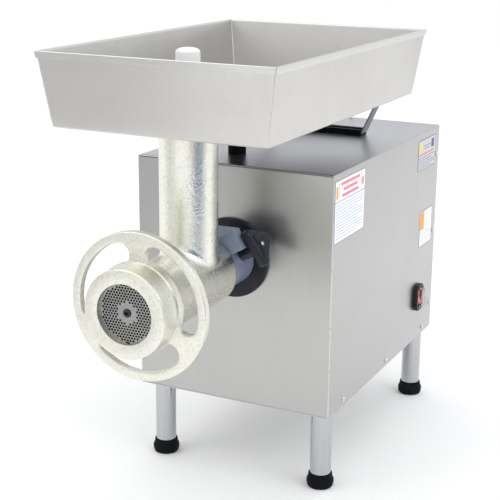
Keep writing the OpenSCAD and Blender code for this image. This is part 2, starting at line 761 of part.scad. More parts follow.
module knife() color("silver") slab_y(plate_back + gap, knife_back) translate([0, axis_z]) difference() {
    union() {
        circle(r = 17, $fn = round_fn);
        for (i = [0 : 3]) rotate(i * 90)
            polygon([[0, -8], [26, -9], [knife_r - 1, -5], [knife_r, 0], [knife_r - 1, 5], [20, 6], [0, 14]]);
    }
    square(16.1, center = true);
}

hub_clear_r = 15.5;
hole_field_r = 39.5;
hex_rows = ceil(hole_field_r / plate_pitch / 0.866);

// Hexagonal field of small holes between the plate's hub and its rim
module hole_field() for (row = [-hex_rows : hex_rows], col = [-hex_rows : hex_rows]) {
    p = [plate_pitch * (col + (row % 2 == 0 ? 0 : 0.5)), plate_pitch * row * sqrt(3) / 2];
    if (norm(p) > hub_clear_r && norm(p) < hole_field_r)
        translate(p) circle(d = plate_hole, $fn = 24);
}

module cutting_plate() color("lightgray") slab_y(plate_face, plate_back) translate([0, axis_z]) difference() {
    circle(r = plate_r, $fn = round_fn);
    circle(r = 6 + fit, $fn = small_fn);
    hole_field();
    translate([-3.2, -plate_r - 1]) square([6.4, 10.1]);
}

rim_w = 13;
wheel_a = ring_front + 34;
wheel_b = wheel_a + 12;
spoke_fillet = 14;

// Outline of one spoke along +Y, with round flares at the hub and at the rim
module spoke() {
    half = 12;
    difference() {
        translate([-half - spoke_fillet, ring_r - 4]) square([2 * (half + spoke_fillet), wheel_r - ring_r - 4]);
        for (side = [-1, 1])
            translate([side * (half + spoke_fillet), (ring_r + wheel_r - rim_w) / 2])
                circle(r = spoke_fillet, $fn = small_fn);
    }
}

module ring_nut() color("beige") {
    turned_y([[outlet_r, ring_front], [ring_r - 2, ring_front], [ring_r, ring_front + 2],
        [ring_r, ring_front + ring_len - 1], [ring_r - 1, ring_front + ring_len],
        [thread_r + gap, ring_front + ring_len], [thread_r + gap, plate_face - gap],
        [outlet_r, plate_face - gap]]);
    slab_y(wheel_a, wheel_b) translate([0, axis_z]) {
        difference() {
            circle(r = wheel_r, $fn = round_fn);
            circle(r = wheel_r - rim_w, $fn = round_fn);
        }
        difference() {
            for (a = [0, 120, 240]) rotate(a) spoke();
            circle(r = ring_r - 0.5, $fn = round_fn);
        }
    }
}

// ---------- clamp ----------

pad_t = 3;
knob_a = 45;
knob_plate_a = 71;
knob_b = 85;
lobe_turn = 98.7;

module clamp_pad() color("goldenrod") clamp_frame() rotate([0, 90, 0])
    translate([0, 0, spigot_r + 0.2]) cylinder(r = 5, h = pad_t, $fn = small_fn);

module clamp_knob() {
    color("silver") clamp_frame() rotate([0, 90, 0])
        translate([0, 0, spigot_r + 0.5 + pad_t]) cylinder(r = 6, h = knob_a - spigot_r, $fn = small_fn);
    color("black") clamp_frame() rotate([0, 90, 0]) {
        translate([0, 0, knob_a]) cylinder(r = 12, h = knob_b - knob_a - 4, $fn = small_fn);
        translate([0, 0, knob_plate_a]) linear_extrude(knob_b - knob_plate_a) hull()
            for (i = [0 : 2]) rotate(lobe_turn + i * 120) translate([knob_r - 7, 0]) circle(r = 7, $fn = hull_fn);
    }
}

// ---------- tray ----------

tray_bw = tray_w - 2 * tray_lean;
tray_bl = tray_l - 2 * tray_lean + 4;
tray_t = 1.5;

hem_t = 1.5;

// Solid with the tray's shape, shrunk by inset, from the height low up
module tray_body(inset, low, over) hull() {
    translate([-tray_bw / 2 + inset, cab_y - tray_front + tray_lean - 2 + inset, low])
        cube([tray_bw - 2 * inset, tray_bl - 2 * inset, 0.1]);
    translate([-tray_w / 2 + inset + hem_t, cab_y - tray_front + inset + hem_t, tray_z + tray_h - 0.1])
        cube([tray_w - 2 * inset - 2 * hem_t, tray_l - 2 * inset - 2 * hem_t, 0.1 + over]);
}

hem_h = 10;

module tray_pan() color("lightgray") difference() {
    union() {
        tray_body(0, tray_z, 0);
        block([-tray_w / 2, tray_w / 2], [-tray_front, tray_end], [tray_z + tray_h - hem_h, tray_z + tray_h]);
    }
    tray_body(tray_t, tray_z + tray_t, 1);
    translate([0, cab_y - column_d, tray_z - 5]) cylinder(r = collar_r + 0.4, h = 20, $fn = round_fn);
}

strap_half = 84;
strap_top = 114;
strap_t = 3;
strap_d = [322, 346];
foot_z = top_z + 4;

strap_tab = 24;
// Right-hand half of the strap's outline, from its foot up to the tab and back
strap_side = [[strap_half, foot_z], [strap_top + 1.5, tray_z - strap_t], [strap_top + strap_tab, tray_z - strap_t],
    [strap_top + strap_tab, tray_z], [strap_top, tray_z], [strap_half - 2, foot_z + strap_t]];

// Flat steel strap bent to a wide U under the tray
module tray_support() color("gray") slab_y(strap_d[0], strap_d[1])
    polygon(concat(strap_side, [for (i = [len(strap_side) - 1 : -1 : 0]) [-strap_side[i][0], strap_side[i][1]]]));

// Rubber channel on the foot of the strap
module strap_sleeve() color("black") difference() {
    block([2 - strap_half, strap_half - 2], [strap_d[0] - 2, strap_d[1] + 2], [top_z + gap, foot_z + strap_t + 3]);
    block([-strap_half, strap_half], strap_d, [foot_z, foot_z + strap_t]);
    block([-strap_half, strap_half], [strap_d[0] + 6, strap_d[1] - 6], [foot_z, foot_z + 9]);
}

// Round rubber block on the cabinet, under the middle of the tray
module support_block() color("black") translate([-36, cab_y + 86, top_z])
    cylinder(r = 14.3, h = tray_z - gap - top_z, $fn = round_fn);

module stomper() color("white") translate([0, cab_y - column_d, 0]) rotate_extrude($fn = round_fn)
    polygon(concat([[0, 560], [throat_r - 3, 560], [throat_r - 1.5, 562], [throat_r - 1.5, collar_z + gap],
        [collar_r - 1, collar_z + gap], [collar_r - 1, collar_z + 5], [collar_r - 3, collar_z + 7], [17.3, collar_z + 7]],
        [for (a = [14 : 8 : 86]) [17.3 * cos(a) / cos(14), 697 + 7 * (sin(a) - sin(14)) / (1 - sin(14))]],
        [[0, 704]]));

cover_wrap();
front_panel();
rear_panel();
base_pan();
cabinet_screws();
leg_tubes();
leg_studs();
leg_nuts();
leg_feet();
chassis_rails();
side_labels();
switch_bezel();
switch_body();
switch_rocker();
switch_boot();
cable_gland();
gland_locknut();
neck_seal();
gearbox_cover();
gearbox_housing();
gearbox_bolts();
oil_plugs();
output_shaft();
output_gear();
output_key();
output_front_bearing();
output_rear_bearing();
output_oil_seal();
counter_shaft();
counter_gear();
counter_bearings();
motor_shaft();
motor_rotor();
motor_stator();
motor_windings();
motor_frame();
motor_front_bell();
motor_rear_bell();
motor_bearings();
motor_fan();
fan_cover();
terminal_box();
capacitor();
wiring();
head_housing();
head_bushing();
plate_key_pin();
auger();
auger_stud();
thrust_washer();
knife();
cutting_plate();
ring_nut();
clamp_knob();
clamp_pad();
tray_pan();
tray_support();
strap_sleeve();
support_block();
stomper();
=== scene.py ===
import json
import math
import random

import bmesh
import bpy
from mathutils import Matrix, Vector


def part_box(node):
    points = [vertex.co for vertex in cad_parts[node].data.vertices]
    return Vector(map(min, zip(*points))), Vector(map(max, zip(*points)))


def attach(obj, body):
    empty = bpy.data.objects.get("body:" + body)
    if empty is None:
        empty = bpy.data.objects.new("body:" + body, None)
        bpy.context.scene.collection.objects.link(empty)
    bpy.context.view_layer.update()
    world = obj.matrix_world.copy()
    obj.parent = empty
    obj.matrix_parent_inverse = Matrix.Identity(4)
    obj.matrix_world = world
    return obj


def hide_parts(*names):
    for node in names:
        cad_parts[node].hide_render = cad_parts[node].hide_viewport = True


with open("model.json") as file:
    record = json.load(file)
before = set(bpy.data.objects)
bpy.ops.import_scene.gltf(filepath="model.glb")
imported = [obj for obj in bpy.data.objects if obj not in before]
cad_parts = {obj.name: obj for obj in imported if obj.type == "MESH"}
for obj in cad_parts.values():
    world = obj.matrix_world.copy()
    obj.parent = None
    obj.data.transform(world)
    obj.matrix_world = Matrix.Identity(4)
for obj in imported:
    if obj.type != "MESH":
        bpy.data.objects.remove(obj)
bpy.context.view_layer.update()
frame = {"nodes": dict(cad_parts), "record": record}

# The looks of a counter-top meat grinder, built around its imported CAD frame.
# Shapes are worked out in millimetres and turned into metres when a mesh is made.
# "Depth" is the distance behind the cabinet's front face, as in the CAD source.

MM = 0.001
CAD = frame["nodes"]


# ---------- places taken from the frame ----------


def node_box(name):
    """Lowest and highest corner of a CAD node, in millimetres."""
    low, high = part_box(name)
    return low / MM, high / MM


FRONT_Y = node_box("front_panel")[0].y
HALF_W = node_box("cover_wrap")[1].x
BASE_Z, TOP_Z = node_box("cover_wrap")[0].z, node_box("cover_wrap")[1].z
CAB_D = node_box("cover_wrap")[1].y - FRONT_Y
AXIS_Z = (node_box("cutting_plate")[0].z + node_box("cutting_plate")[1].z) / 2
COLUMN_Y = (node_box("stomper")[0].y + node_box("stomper")[1].y) / 2
TRAY_LOW, TRAY_HIGH = node_box("tray_pan")
STOMPER_LOW, STOMPER_HIGH = node_box("stomper")
RING_LOW, RING_HIGH = node_box("ring_nut")
SHEET = 1.5
SEGMENTS = 96


# ---------- mesh helpers ----------


def arc(centre, radius, start, end, steps):
    """Points on an arc from one angle to another, in degrees."""
    angles = [math.radians(start + (end - start) * i / steps) for i in range(steps + 1)]
    return [(centre[0] + radius * math.cos(a), centre[1] + radius * math.sin(a)) for a in angles]


def rounded(corners, steps):
    """Outline through (x, y, radius) corners, each replaced by an arc of its radius."""
    points = []
    count = len(corners)
    for i, (x, y, radius) in enumerate(corners):
        here = Vector((x, y))
        if radius <= 0:
            points.append((x, y))
            continue
        before = Vector(corners[i - 1][:2]) - here
        after = Vector(corners[(i + 1) % count][:2]) - here
        u, v = before.normalized(), after.normalized()
        half = u.angle(v) / 2
        reach = min(radius / math.tan(half), 0.5 * before.length, 0.5 * after.length)
        radius = reach * math.tan(half)
        centre = here + (u + v).normalized() * (radius / math.sin(half))
        start, end = here + u * reach - centre, here + v * reach - centre
        turn = math.atan2(start.x * end.y - start.y * end.x, start.dot(end))
        for k in range(steps + 1):
            a = turn * k / steps
            points.append(
                (
                    centre.x + start.x * math.cos(a) - start.y * math.sin(a),
                    centre.y + start.x * math.sin(a) + start.y * math.cos(a),
                )
            )
    return points


def new_object(name, data):
    piece = bpy.data.objects.new(name, data)
    bpy.context.scene.collection.objects.link(piece)
    return piece


def mesh_object(name, points, faces):
    """Object from points in millimetres; doubled points are welded and normals face out."""
    mesh = bpy.data.meshes.new(name)
    mesh.from_pydata([Vector(p) * MM for p in points], [], faces)
    clean(mesh)
    return new_object(name, mesh)


def clean(mesh, weld=1e-6):
    work = bmesh.new()
    work.from_mesh(mesh)
    bmesh.ops.remove_doubles(work, verts=work.verts, dist=weld)
    bmesh.ops.dissolve_degenerate(work, edges=work.edges, dist=weld / 10)
    bmesh.ops.recalc_face_normals(work, faces=work.faces)
    work.to_mesh(mesh)
    work.free()


def grid_faces(rows, columns, wrap_rows=False, wrap_columns=True):
    """Quads of a grid whose points are numbered row by row."""
    last_row = rows if wrap_rows else rows - 1
    last_column = columns if wrap_columns else columns - 1
    faces = []
    for i in range(last_row):
        for k in range(last_column):
            a, b = i * columns + k, i * columns + (k + 1) % columns
            c, d = ((i + 1) % rows) * columns + (k + 1) % columns, ((i + 1) % rows) * columns + k
            faces.append((a, b, c, d))
    return faces


def lathe(name, profile, axis="Z", centre=(0, 0, 0), segments=SEGMENTS, closed=True, shape=None):
    """Turned object: profile holds (radius, height along the axis) points.

    shape, if given, changes a radius from (radius, height, angle)."""
    points = []
    for radius, height in profile:
        for k in range(segments):
            angle = 2 * math.pi * k / segments
            r = shape(radius, height, angle) if shape else radius
            c, s = r * math.cos(angle), r * math.sin(angle)
            local = (c, s, height) if axis == "Z" else (c, height, s)
            points.append(tuple(centre[i] + local[i] for i in range(3)))
    return mesh_object(name, points, grid_faces(len(profile), segments, wrap_rows=closed))


def loft(name, loops):
    """Skin over loops with equal numbers of points; the end loops are capped."""
    count = len(loops[0])
    points = [p for loop in loops for p in loop]
    faces = grid_faces(len(loops), count)
    faces.append(tuple(range(count)))
    faces.append(tuple(range((len(loops) - 1) * count, len(loops) * count)))
    return mesh_object(name, points, faces)


def box_object(name, low, high):
    """Box between two corners."""
    points = [(x, y, z) for x in (low[0], high[0]) for y in (low[1], high[1]) for z in (low[2], high[2])]
    faces = [(0, 1, 3, 2), (4, 6, 7, 5), (0, 4, 5, 1), (2, 3, 7, 6), (0, 2, 6, 4), (1, 5, 7, 3)]
    return mesh_object(name, points, faces)


def plate(name, outlines, thickness, edge, place, steps=3):
    """Flat plate from an outline and its holes, with rounded edges; place maps its XY plane."""
    curve = bpy.data.curves.new(name, "CURVE")
    curve.dimensions = "2D"
    curve.fill_mode = "BOTH"
    curve.extrude = (thickness / 2 - edge) * MM
    curve.bevel_depth = edge * MM
    curve.offset = -edge * MM
    curve.bevel_resolution = steps
    for outline in outlines:
        spline = curve.splines.new("POLY")
        spline.points.add(len(outline) - 1)
        for point, (x, y) in zip(spline.points, outline):
            point.co = (x * MM, y * MM, 0, 1)
        spline.use_cyclic_u = True
    made = new_object(name + "_curve", curve)
    mesh = shown_mesh(made)
    mesh.name = name
    bpy.data.objects.remove(made)
    mesh.transform(Matrix.Translation(Vector(place[1]) * MM) @ place[0].to_4x4())
    clean(mesh, 1e-5)
    return new_object(name, mesh)


def along_y(depth):
    """Place for a plate that lies in X and Z, its middle on the axis at a depth."""
    return (Matrix.Rotation(math.radians(90), 3, "X"), (0.0, FRONT_Y + depth, AXIS_Z))


def combine(target, other, operation):
    """Boolean of two objects; the second one is used up."""
    modifier = target.modifiers.new("boolean", "BOOLEAN")
    modifier.operation = operation
    modifier.solver = "EXACT"
    modifier.object = other
    apply_modifiers(target)
    bpy.data.objects.remove(other)


def shown_mesh(piece):
    """New mesh of an object as it shows, with its modifiers."""
    bpy.context.view_layer.update()
    return bpy.data.meshes.new_from_object(piece.evaluated_get(bpy.context.evaluated_depsgraph_get()))


def apply_modifiers(piece):
    mesh = shown_mesh(piece)
    piece.modifiers.clear()
    old = piece.data
    piece.data = mesh
    bpy.data.meshes.remove(old)


def join(name, pieces):
    """One object made of several; the others are used up."""
    work = bmesh.new()
    materials = []
    for piece in pieces:
        start = len(work.faces)
        copy = piece.data.copy()
        copy.transform(piece.matrix_world)
        work.from_mesh(copy)
        work.faces.ensure_lookup_table()
        own = list(piece.data.materials)
        for material in own:
            if material not in materials:
                materials.append(material)
        for face in work.faces[start:]:
            if own:
                face.material_index = materials.index(own[face.material_index])
        bpy.data.meshes.remove(copy)
    mesh = bpy.data.meshes.new(name)
    work.to_mesh(mesh)
    work.free()
    for material in materials:
        mesh.materials.append(material)
    for piece in pieces:
        bpy.data.objects.remove(piece)
    return new_object(name, mesh)


def soften(piece, angle=35):
    """Smooth shading, with edges sharper than the angle kept."""
    mesh = piece.data
    mesh.shade_smooth()
    mesh.set_sharp_from_angle(angle=math.radians(angle))


def bevel(piece, width, steps, angle):
    """Rounded edges, left as a modifier."""
    modifier = piece.modifiers.new("bevel", "BEVEL")
    modifier.width = width * MM
    modifier.segments = steps
    modifier.limit_method = "ANGLE"
    modifier.angle_limit = math.radians(angle)
    modifier.harden_normals = True
    modifier.miter_outer = "MITER_ARC"


def dress(piece, material):
    """Gives an object one material."""
    piece.data.materials.clear()
    piece.data.materials.append(material)


def set_piece(piece, body, material, replaces=(), angle=35):
    """Finish a piece: shading, named material, body and the CAD nodes that it stands for."""
    if material is not None:
        dress(piece, MATERIALS[material])
    if angle:
        soften(piece, angle)
    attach(piece, body)
    if replaces:
        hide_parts(*replaces)


# ---------- material helpers ----------


class Paint:
    """A principled material and short ways to wire procedural detail into it."""

    def __init__(self, name, colour, roughness, metallic=0.0, **sockets):
        self.material = bpy.data.materials.new(name)
        self.material.use_nodes = True
        self.nodes = self.material.node_tree.nodes
        self.links = self.material.node_tree.links
        self.shader = self.nodes["Principled BSDF"]
        self.shader.inputs["Base Color"].default_value = (*colour, 1)
        self.shader.inputs["Roughness"].default_value = roughness
        self.shader.inputs["Metallic"].default_value = metallic
        for socket, value in sockets.items():
            self.shader.inputs[socket.replace("_", " ")].default_value = value
        self.colour = colour
        self.place = self.nodes.new("ShaderNodeTexCoord").outputs["Object"]
        self.tint = None
        self.normal = None

    def node(self, kind, **inputs):
        """New node, with the values of its inputs; an underscore in a name stands for a space."""
        made = self.nodes.new("ShaderNode" + kind)
        for socket, value in inputs.items():
            made.inputs[socket.replace("_", " ")].default_value = value
        return made

    def noise(self, scale, detail=3.0, distortion=0.0):
        """Noise in object space; scale is per metre, one number or one for each axis."""
        stretch = scale if isinstance(scale, (tuple, list)) else (scale,) * 3
        mapping = self.node("Mapping", Scale=stretch)
        self.links.new(self.place, mapping.inputs["Vector"])
        node = self.node("TexNoise", Scale=1.0, Detail=detail, Roughness=0.55, Distortion=distortion)
        self.links.new(mapping.outputs["Vector"], node.inputs["Vector"])
        return node.outputs["Fac"]

    def ramp(self, value, low, high, start=0.0, end=1.0):
        """Value limited to a range and stretched over another."""
        node = self.node("MapRange", From_Min=low, From_Max=high, To_Min=start, To_Max=end)
        self.links.new(value, node.inputs["Value"])
        return node.outputs["Result"]

    def math(self, operation, a, b):
        """Result of a sum on two values, each a number or a socket."""
        node = self.nodes.new("ShaderNodeMath")
        node.operation = operation
        for socket, value in zip(node.inputs, (a, b)):
            if isinstance(value, (int, float)):
                socket.default_value = value
            else:
                self.links.new(value, socket)
        return node.outputs[0]

    def tinted(self, factor, colour):
        """Mixes the colour so far towards another by a factor."""
        node = self.nodes.new("ShaderNodeMix")
        node.data_type = "RGBA"
        self.links.new(factor, node.inputs["Factor"])
        if self.tint is None:
            node.inputs[6].default_value = (*self.colour, 1)
        else:
            self.links.new(self.tint, node.inputs[6])
        node.inputs[7].default_value = (*colour, 1)
        self.tint = node.outputs[2]
        self.links.new(self.tint, self.shader.inputs["Base Color"])

    def rough(self, factor, low, high):
        """Roughness from low to high as the factor goes from 0 to 1."""
        self.links.new(self.ramp(factor, 0, 1, low, high), self.shader.inputs["Roughness"])

    def bump(self, height, distance, strength=1.0):
        """Bump of a depth in metres, on top of any bump before it."""
        node = self.node("Bump", Strength=strength, Distance=distance)
        self.links.new(height, node.inputs["Height"])
        if self.normal is not None:
            self.links.new(self.normal, node.inputs["Normal"])
        self.normal = node.outputs["Normal"]
        self.links.new(self.normal, self.shader.inputs["Normal"])

    def worn_edges(self, reach, colour):
        """Lighter rubbed edges, where the surface turns within a reach in metres."""
        bevel_node = self.nodes.new("ShaderNodeBevel")
        bevel_node.samples = 4
        bevel_node.inputs["Radius"].default_value = reach
        geometry = self.nodes.new("ShaderNodeNewGeometry")
        dot = self.nodes.new("ShaderNodeVectorMath")
        dot.operation = "DOT_PRODUCT"
        self.links.new(bevel_node.outputs["Normal"], dot.inputs[0])
        self.links.new(geometry.outputs["Normal"], dot.inputs[1])
        self.tinted(self.ramp(dot.outputs["Value"], 0.99, 0.86), colour)


def mixed(a, b, share):
    """Colour part of the way from one to another."""
    return tuple(x + (y - x) * share for x, y in zip(a, b))


def brushed_steel(name, colour, roughness, grain, streak=0.35, cloud=0.5):
    """Satin sheet steel; grain is the noise scale along X, Y and Z."""
    paint = Paint(name, colour, roughness, 1.0)
    lines = paint.noise(grain, 4.0)
    fine = paint.noise(tuple(2.7 * g for g in grain), 2.0)
    clouds = paint.noise((9, 9, 9), 4.0, 0.6)
    paint.tinted(paint.ramp(lines, 0.35, 0.7, 0, streak), mixed(colour, (0.3, 0.3, 0.31), 0.35))
    paint.tinted(paint.ramp(clouds, 0.48, 0.75, 0, cloud * 0.5), mixed(colour, (0.42, 0.40, 0.38), 0.5))
    blend = paint.math("ADD", paint.math("MULTIPLY", lines, 0.5), paint.math("MULTIPLY", clouds, 0.5))
    paint.rough(blend, roughness - 0.07, roughness + 0.09)
    paint.bump(lines, 0.00004, 0.55)
    paint.bump(fine, 0.00002, 0.5)
    return paint.material


def tinned_casting(name, colour, roughness, grain):
    """Hot-tinned cast iron: a satin skin over the grain of the casting."""
    paint = Paint(name, colour, roughness, 1.0)
    sand = paint.noise(300, 4.0)
    speckle = paint.noise(900, 3.0)
    waves = paint.noise(34, 3.0, 0.4)
    patches = paint.noise(14, 4.0, 0.8)
    paint.tinted(paint.ramp(patches, 0.42, 0.7, 0, 0.55), mixed(colour, (0.72, 0.66, 0.48), 0.45))
    paint.tinted(paint.ramp(sand, 0.5, 0.66, 0, 0.5), mixed(colour, (0.35, 0.36, 0.38), 0.5))
    paint.tinted(paint.ramp(speckle, 0.54, 0.7, 0, 0.5), mixed(colour, (0.35, 0.36, 0.38), 0.6))
    paint.rough(patches, roughness - 0.06, roughness + 0.1)
    paint.bump(waves, 0.0012, 0.35)
    paint.bump(sand, grain * 1.6, 0.8)
    paint.bump(speckle, grain * 0.6, 0.8)
    return paint.material


def ground_metal(name, colour, roughness=0.28, grain=(900, 120, 900), spots=0.3):
    """Machined or plated metal with tool marks."""
    paint = Paint(name, colour, roughness, 1.0)
    marks = paint.noise(grain, 3.0)
    stains = paint.noise(60, 4.0, 0.5)
    paint.tinted(paint.ramp(stains, 0.45, 0.75, 0, spots), mixed(colour, (0.16, 0.16, 0.17), 0.5))
    paint.rough(marks, roughness - 0.07, roughness + 0.1)
    paint.bump(marks, 0.00003, 0.5)
    return paint.material


def moulded(name, colour, roughness, grain=1400, depth=0.00006, lighter=0.12, **sockets):
    """Moulded plastic or rubber with a fine grain and slight dust."""
    paint = Paint(name, colour, roughness, 0.0, **sockets)
    texture = paint.noise(grain, 3.0)
    dust = paint.noise(45, 4.0, 0.5)
    paint.tinted(paint.ramp(dust, 0.5, 0.8, 0, lighter), mixed(colour, (0.5, 0.5, 0.5), 0.35))
    paint.rough(dust, roughness - 0.06, roughness + 0.09)
    paint.bump(texture, depth, 0.5)
    return paint.material


def enamel(name, colour, roughness=0.38, chips=True):
    """Sprayed enamel with orange peel, rubbed at its edges."""
    paint = Paint(name, colour, roughness, 0.0, Coat_Weight=0.35, Coat_Roughness=0.2)
    peel = paint.noise(420, 3.0)
    shade = paint.noise(22, 4.0, 0.4)
    paint.tinted(paint.ramp(shade, 0.4, 0.75, 0, 0.5), mixed(colour, (0.5, 0.52, 0.56), 0.3))
    if chips:
        paint.worn_edges(0.0008, mixed(colour, (0.7, 0.7, 0.72), 0.5))
    paint.rough(shade, roughness - 0.05, roughness + 0.1)
    paint.bump(peel, 0.00012, 0.45)
    return paint.material


def clear_plastic(name):
    """Soft clear cover, slightly hazed."""
    paint = Paint(name, (0.93, 0.95, 0.97), 0.12, 0.0, Transmission_Weight=0.95, IOR=1.3, Alpha=0.45)
    haze = paint.noise(80, 3.0, 0.3)
    paint.rough(haze, 0.05, 0.3)
    paint.bump(paint.noise(160, 2.0), 0.0002, 0.4)
    return paint.material


def printed_film(name, colour, roughness=0.4, metallic=0.0):
    """Printed label film, a little uneven in tone."""
    paint = Paint(name, colour, roughness, metallic)
    tone = paint.noise(110, 4.0, 0.2)
    paint.tinted(paint.ramp(tone, 0.45, 0.75, 0, 0.35), mixed(colour, (0.55, 0.56, 0.58), 0.25))
    paint.rough(tone, roughness - 0.05, roughness + 0.1)
    paint.bump(paint.noise(500, 2.0), 0.00003, 0.4)
    return paint.material


VERTICAL_GRAIN = (1500, 1500, 22)
LENGTH_GRAIN = (1500, 22, 1500)
STEEL = (0.50, 0.495, 0.485)

MATERIALS = {
    "stainless": brushed_steel("stainless_brushed", STEEL, 0.3, VERTICAL_GRAIN),
    # Darker, bluer copy of the brushed steel for the cabinet's top faces: painted shade standing in for the tray's
    # shaded underside reflected in the top.
    "painted_shade_top": brushed_steel(
        "steel_top_painted_shade", mixed(STEEL, (0.34, 0.35, 0.40), 0.6), 0.3, LENGTH_GRAIN, 0.25, 0.3
    ),
    "stainless_tray": brushed_steel("stainless_tray", (0.63, 0.615, 0.59), 0.33, VERTICAL_GRAIN, 0.3, 0.8),
    "stainless_edge": brushed_steel("stainless_edge", (0.66, 0.65, 0.62), 0.24, (900, 900, 60), 0.2, 0.3),
    "sheet_inner": brushed_steel("mill_sheet", (0.58, 0.58, 0.58), 0.38, LENGTH_GRAIN),
    "tinned_iron": tinned_casting("tinned_casting", (0.86, 0.855, 0.765), 0.25, 0.0004),
    "wheel_cast": tinned_casting("wheel_casting", (0.83, 0.82, 0.735), 0.32, 0.0004),
    "polished_steel": brushed_steel("polished_tube", (0.53, 0.54, 0.56), 0.12, (300, 300, 12), 0.5, 0.2),
    "tool_steel": ground_metal("tool_steel", (0.36, 0.355, 0.34), 0.28),
    "zinc": ground_metal("bright_zinc", (0.72, 0.73, 0.75), 0.25, (600, 600, 600), 0.2),
    "strap_steel": ground_metal("strap_steel", (0.42, 0.44, 0.46), 0.36, (200, 1200, 200)),
    "worn_iron": ground_metal("worn_iron", (0.13, 0.13, 0.125), 0.4, (300, 300, 300), 0.3),
    "black_oxide": ground_metal("black_oxide", (0.05, 0.055, 0.065), 0.3, (600, 600, 600), 0.2),
    "rubber_black": moulded(
        "black_rubber", (0.003, 0.004, 0.007), 0.6, 900, 0.00008, 0.05, Specular_IOR_Level=0.1
    ),
    "plastic_black": moulded(
        "black_plastic", (0.008, 0.01, 0.016), 0.36, 1600, 0.00005, 0.08, Specular_IOR_Level=0.3
    ),
    "knob": moulded(
        "knob_black", (0.005, 0.007, 0.014), 0.25, 700, 0.00004, 0.03,
        Specular_IOR_Level=0.35, Coat_Weight=0.1, Coat_Roughness=0.2,
    ),
    "plastic_white": moulded("white_plastic", (0.86, 0.86, 0.85), 0.32, 700, 0.00004, 0.1),
    "rocker_red": moulded(
        "rocker_red", (0.72, 0.035, 0.02), 0.25, 900, 0.00003, 0.1, Coat_Weight=0.4, Coat_Roughness=0.1
    ),
    "boot_clear": clear_plastic("boot_clear"),
    "label": printed_film("label_white", (0.86, 0.87, 0.89)),
    "gearbox_paint": enamel("gearbox_enamel", (0.17, 0.21, 0.30), 0.34),
    "motor_paint": enamel("motor_enamel", (0.12, 0.2, 0.3)),
    "gear_steel": ground_metal("oiled_steel", (0.42, 0.42, 0.43), 0.3, (700, 90, 700)),
    "bearing_steel": ground_metal("bearing_steel", (0.64, 0.64, 0.66), 0.14, (1200, 60, 1200), 0.1),
    "laminations": ground_metal("lacquered_laminations", (0.2, 0.19, 0.18), 0.45, (60, 2200, 60)),
    "copper": ground_metal("enamelled_copper", (0.7, 0.33, 0.16), 0.3, (1500, 1500, 1500)),
    "bronze": ground_metal("turned_bronze", (0.6, 0.42, 0.2), 0.3, (900, 60, 900)),
    "fibre": moulded("pressed_fibre", (0.33, 0.18, 0.1), 0.7, 500, 0.00015),
    "chassis_paint": enamel("black_primer", (0.03, 0.03, 0.033), 0.5, chips=False),
}


def dress_cad_nodes():
    """Gives every CAD node the material of its slot in the record."""
    for part in frame["record"]["subparts"]:
        dress(CAD[part["node"]], MATERIALS[part["material_slot"]])
        soften(CAD[part["node"]], 32)


dress_cad_nodes()


# ---------- cabinet ----------

EDGE_R = 1.3
BEND_R = 3.0
PANEL_TOP_GAP = 0.35


def wrap_outline(inset):
    """Inverted U of the side and top sheets in X and Z, its outside pulled in by inset."""
    out, up = HALF_W - inset, TOP_Z - inset
    inner_out, inner_up = HALF_W - SHEET, TOP_Z - SHEET
    corners = [
        (-out, BASE_Z, 0), (-out, up, BEND_R), (out, up, BEND_R), (out, BASE_Z, 0),
        (inner_out, BASE_Z, 0), (inner_out, inner_up, BEND_R - SHEET),
        (-inner_out, inner_up, BEND_R - SHEET), (-inner_out, BASE_Z, 0),
    ]
    return rounded(corners, 6)


def build_cabinet_wrap():
    """Sides and top in one bent sheet, its front and rear edges rubbed round; the top faces get a darker copy of the
    steel as painted shade.
    """
    loops = []
    angles = [math.radians(a) for a in (0, 25, 50, 70, 90)]
    edge = [(EDGE_R * (1 - math.cos(a)), EDGE_R * (1 - math.sin(a))) for a in angles]
    stations = edge + [(CAB_D - depth, inset) for depth, inset in reversed(edge)]
    top_start = BEND_R + PANEL_TOP_GAP
    for depth, inset in stations:
        loop = []
        for x, z in wrap_outline(inset):
            on_top = z > TOP_Z - SHEET - 0.8 and abs(x) < HALF_W - BEND_R
            set_back = max(depth, 0) if depth > 50 or not on_top else depth + top_start
            loop.append((x, FRONT_Y + set_back, z))
        loops.append(loop)
    wrap = loft("cabinet_wrap", loops)
    low, high = node_box("switch_body")
    play = 0.8
    window = box_object(
        "switch_window",
        (HALF_W - 6, low.y - play, low.z - play),
        (HALF_W + 6, high.y + play, high.z + play),
    )
    combine(wrap, window, "DIFFERENCE")
    set_piece(wrap, "cabinet", "stainless", ["cover_wrap"], 30)
    wrap.data.materials.append(MATERIALS["painted_shade_top"])
    # Upward faces get the darker copy of the steel: painted shade from the tray above, not a different finish.
    for face in wrap.data.polygons:
        if face.normal.z > 0.9:
            face.material_index = 1


def build_front_panel():
    """Front sheet with its top edge bent back over the frame, and the hole for the neck."""
    low = node_box("front_panel")[0].z
    half = node_box("front_panel")[1].x + 0.3
    profile = rounded(
        [
            (0, low, 0), (0, TOP_Z, 2.2), (BEND_R, TOP_Z, 0),
            (BEND_R, TOP_Z - SHEET, 0), (SHEET, TOP_Z - SHEET, 0.7), (SHEET, low, 0),
        ],
        6,
    )
    loops = [[(x, FRONT_Y + d, z) for d, z in profile] for x in (-half, half)]
    panel = loft("front_sheet", loops)
    hole = lathe("neck_hole", [(0, -4), (41, -4), (41, 6), (0, 6)], "Y", (0, FRONT_Y, AXIS_Z))
    combine(panel, hole, "DIFFERENCE")
    set_piece(panel, "cabinet", "stainless", ["front_panel"], 30)


